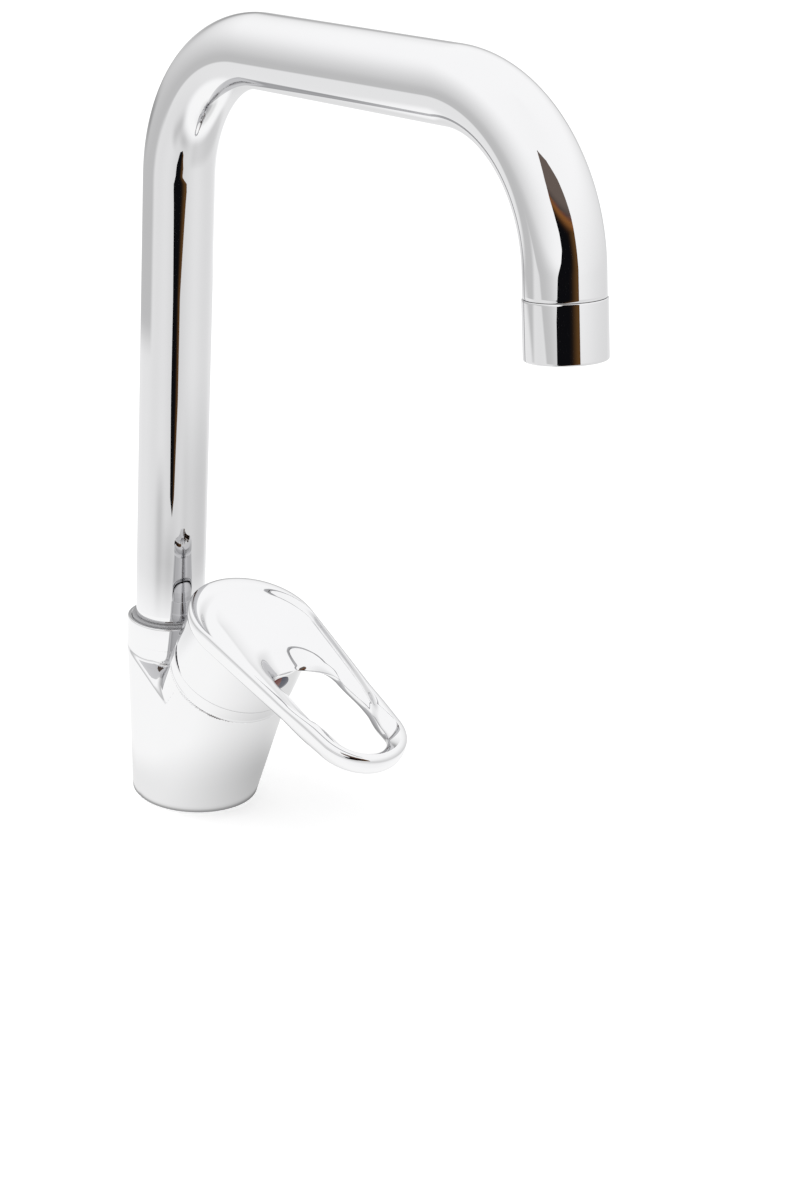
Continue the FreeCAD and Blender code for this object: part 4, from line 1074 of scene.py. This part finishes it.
class MIXER_OT_head(bpy.types.Operator):
    """Build the cover ring, the lever and the indicator button"""
    bl_idname = "mixer.head"
    bl_label = "Build head"

    def execute(self, context):
        h = plain(context.scene.mixer_head)
        dress(ring_surface(h), "chrome", "body", "cover_ring")
        dress(bell_surface(h), "chrome", "lever", "lever_handle")
        dress(lever_surface(h), "chrome", "lever", "lever_handle")
        dress(button_surface(h), "button", "lever", "indicator_button")
        return {"FINISHED"}


class MIXER_OT_finishes(bpy.types.Operator):
    """Give every CAD piece its procedural material"""
    bl_idname = "mixer.finishes"
    bl_label = "Paint CAD pieces"

    def execute(self, context):
        materials = materials_by_slot()
        slots = {entry["node"]: entry["material_slot"] for entry in frame["record"]["subparts"]}
        for name, node in frame["nodes"].items():
            node.data.materials.clear()
            node.data.materials.append(materials[slots[name]])
        return {"FINISHED"}


class MIXER_OT_stage(bpy.types.Operator):
    """Set the floor, the lamps, the cards of painted reflections and the camera"""
    bl_idname = "mixer.stage"
    bl_label = "Set the stage"

    def execute(self, context):
        scene, s = context.scene, plain(context.scene.mixer_stage)
        paper_floor(floor_material(plain(scene.mixer_finish).paper, s.glow))
        tent()
        foot_painted_shadow_card()
        tent_opening()
        scene.world = surroundings(s.world)
        soft_lamp(s.key, s.softness)
        scene.camera = view_camera(s.lens)
        scene.view_settings.view_transform = "Standard"
        return {"FINISHED"}


class MIXER_PT_panel(bpy.types.Panel):
    """Sizes, colours and build steps of the mixer"""
    bl_idname = "MIXER_PT_panel"
    bl_label = "Kitchen mixer"
    bl_space_type = "VIEW_3D"
    bl_region_type = "UI"
    bl_category = "Mixer"

    def draw(self, context):
        for group, (_, operators) in GROUPS.items():
            column = self.layout.column(align=True)
            settings = getattr(context.scene, group)
            for name in settings.__annotations__:
                column.prop(settings, name)
            for operator in operators:
                column.operator(operator)


GROUPS = {
    "mixer_spout": (MixerSpoutSettings, ["mixer.spout"]),
    "mixer_body": (MixerBodySettings, ["mixer.body"]),
    "mixer_head": (MixerHeadSettings, ["mixer.head"]),
    "mixer_finish": (MixerFinishSettings, ["mixer.finishes"]),
    "mixer_stage": (MixerStageSettings, ["mixer.stage"]),
}
CLASSES = (*(settings for settings, _ in GROUPS.values()), MIXER_OT_spout, MIXER_OT_body, MIXER_OT_head,
           MIXER_OT_finishes, MIXER_OT_stage, MIXER_PT_panel)


def register():
    for cls in CLASSES:
        bpy.utils.register_class(cls)
    for name, (settings, _) in GROUPS.items():
        setattr(bpy.types.Scene, name, bpy.props.PointerProperty(type=settings))


def unregister():
    for name in GROUPS:
        delattr(bpy.types.Scene, name)
    for cls in reversed(CLASSES):
        bpy.utils.unregister_class(cls)


def main():
    register()
    bpy.ops.mixer.finishes()
    bpy.ops.mixer.spout()
    bpy.ops.mixer.body()
    bpy.ops.mixer.head()
    bpy.ops.mixer.stage()


if __name__ == "__main__":
    main()
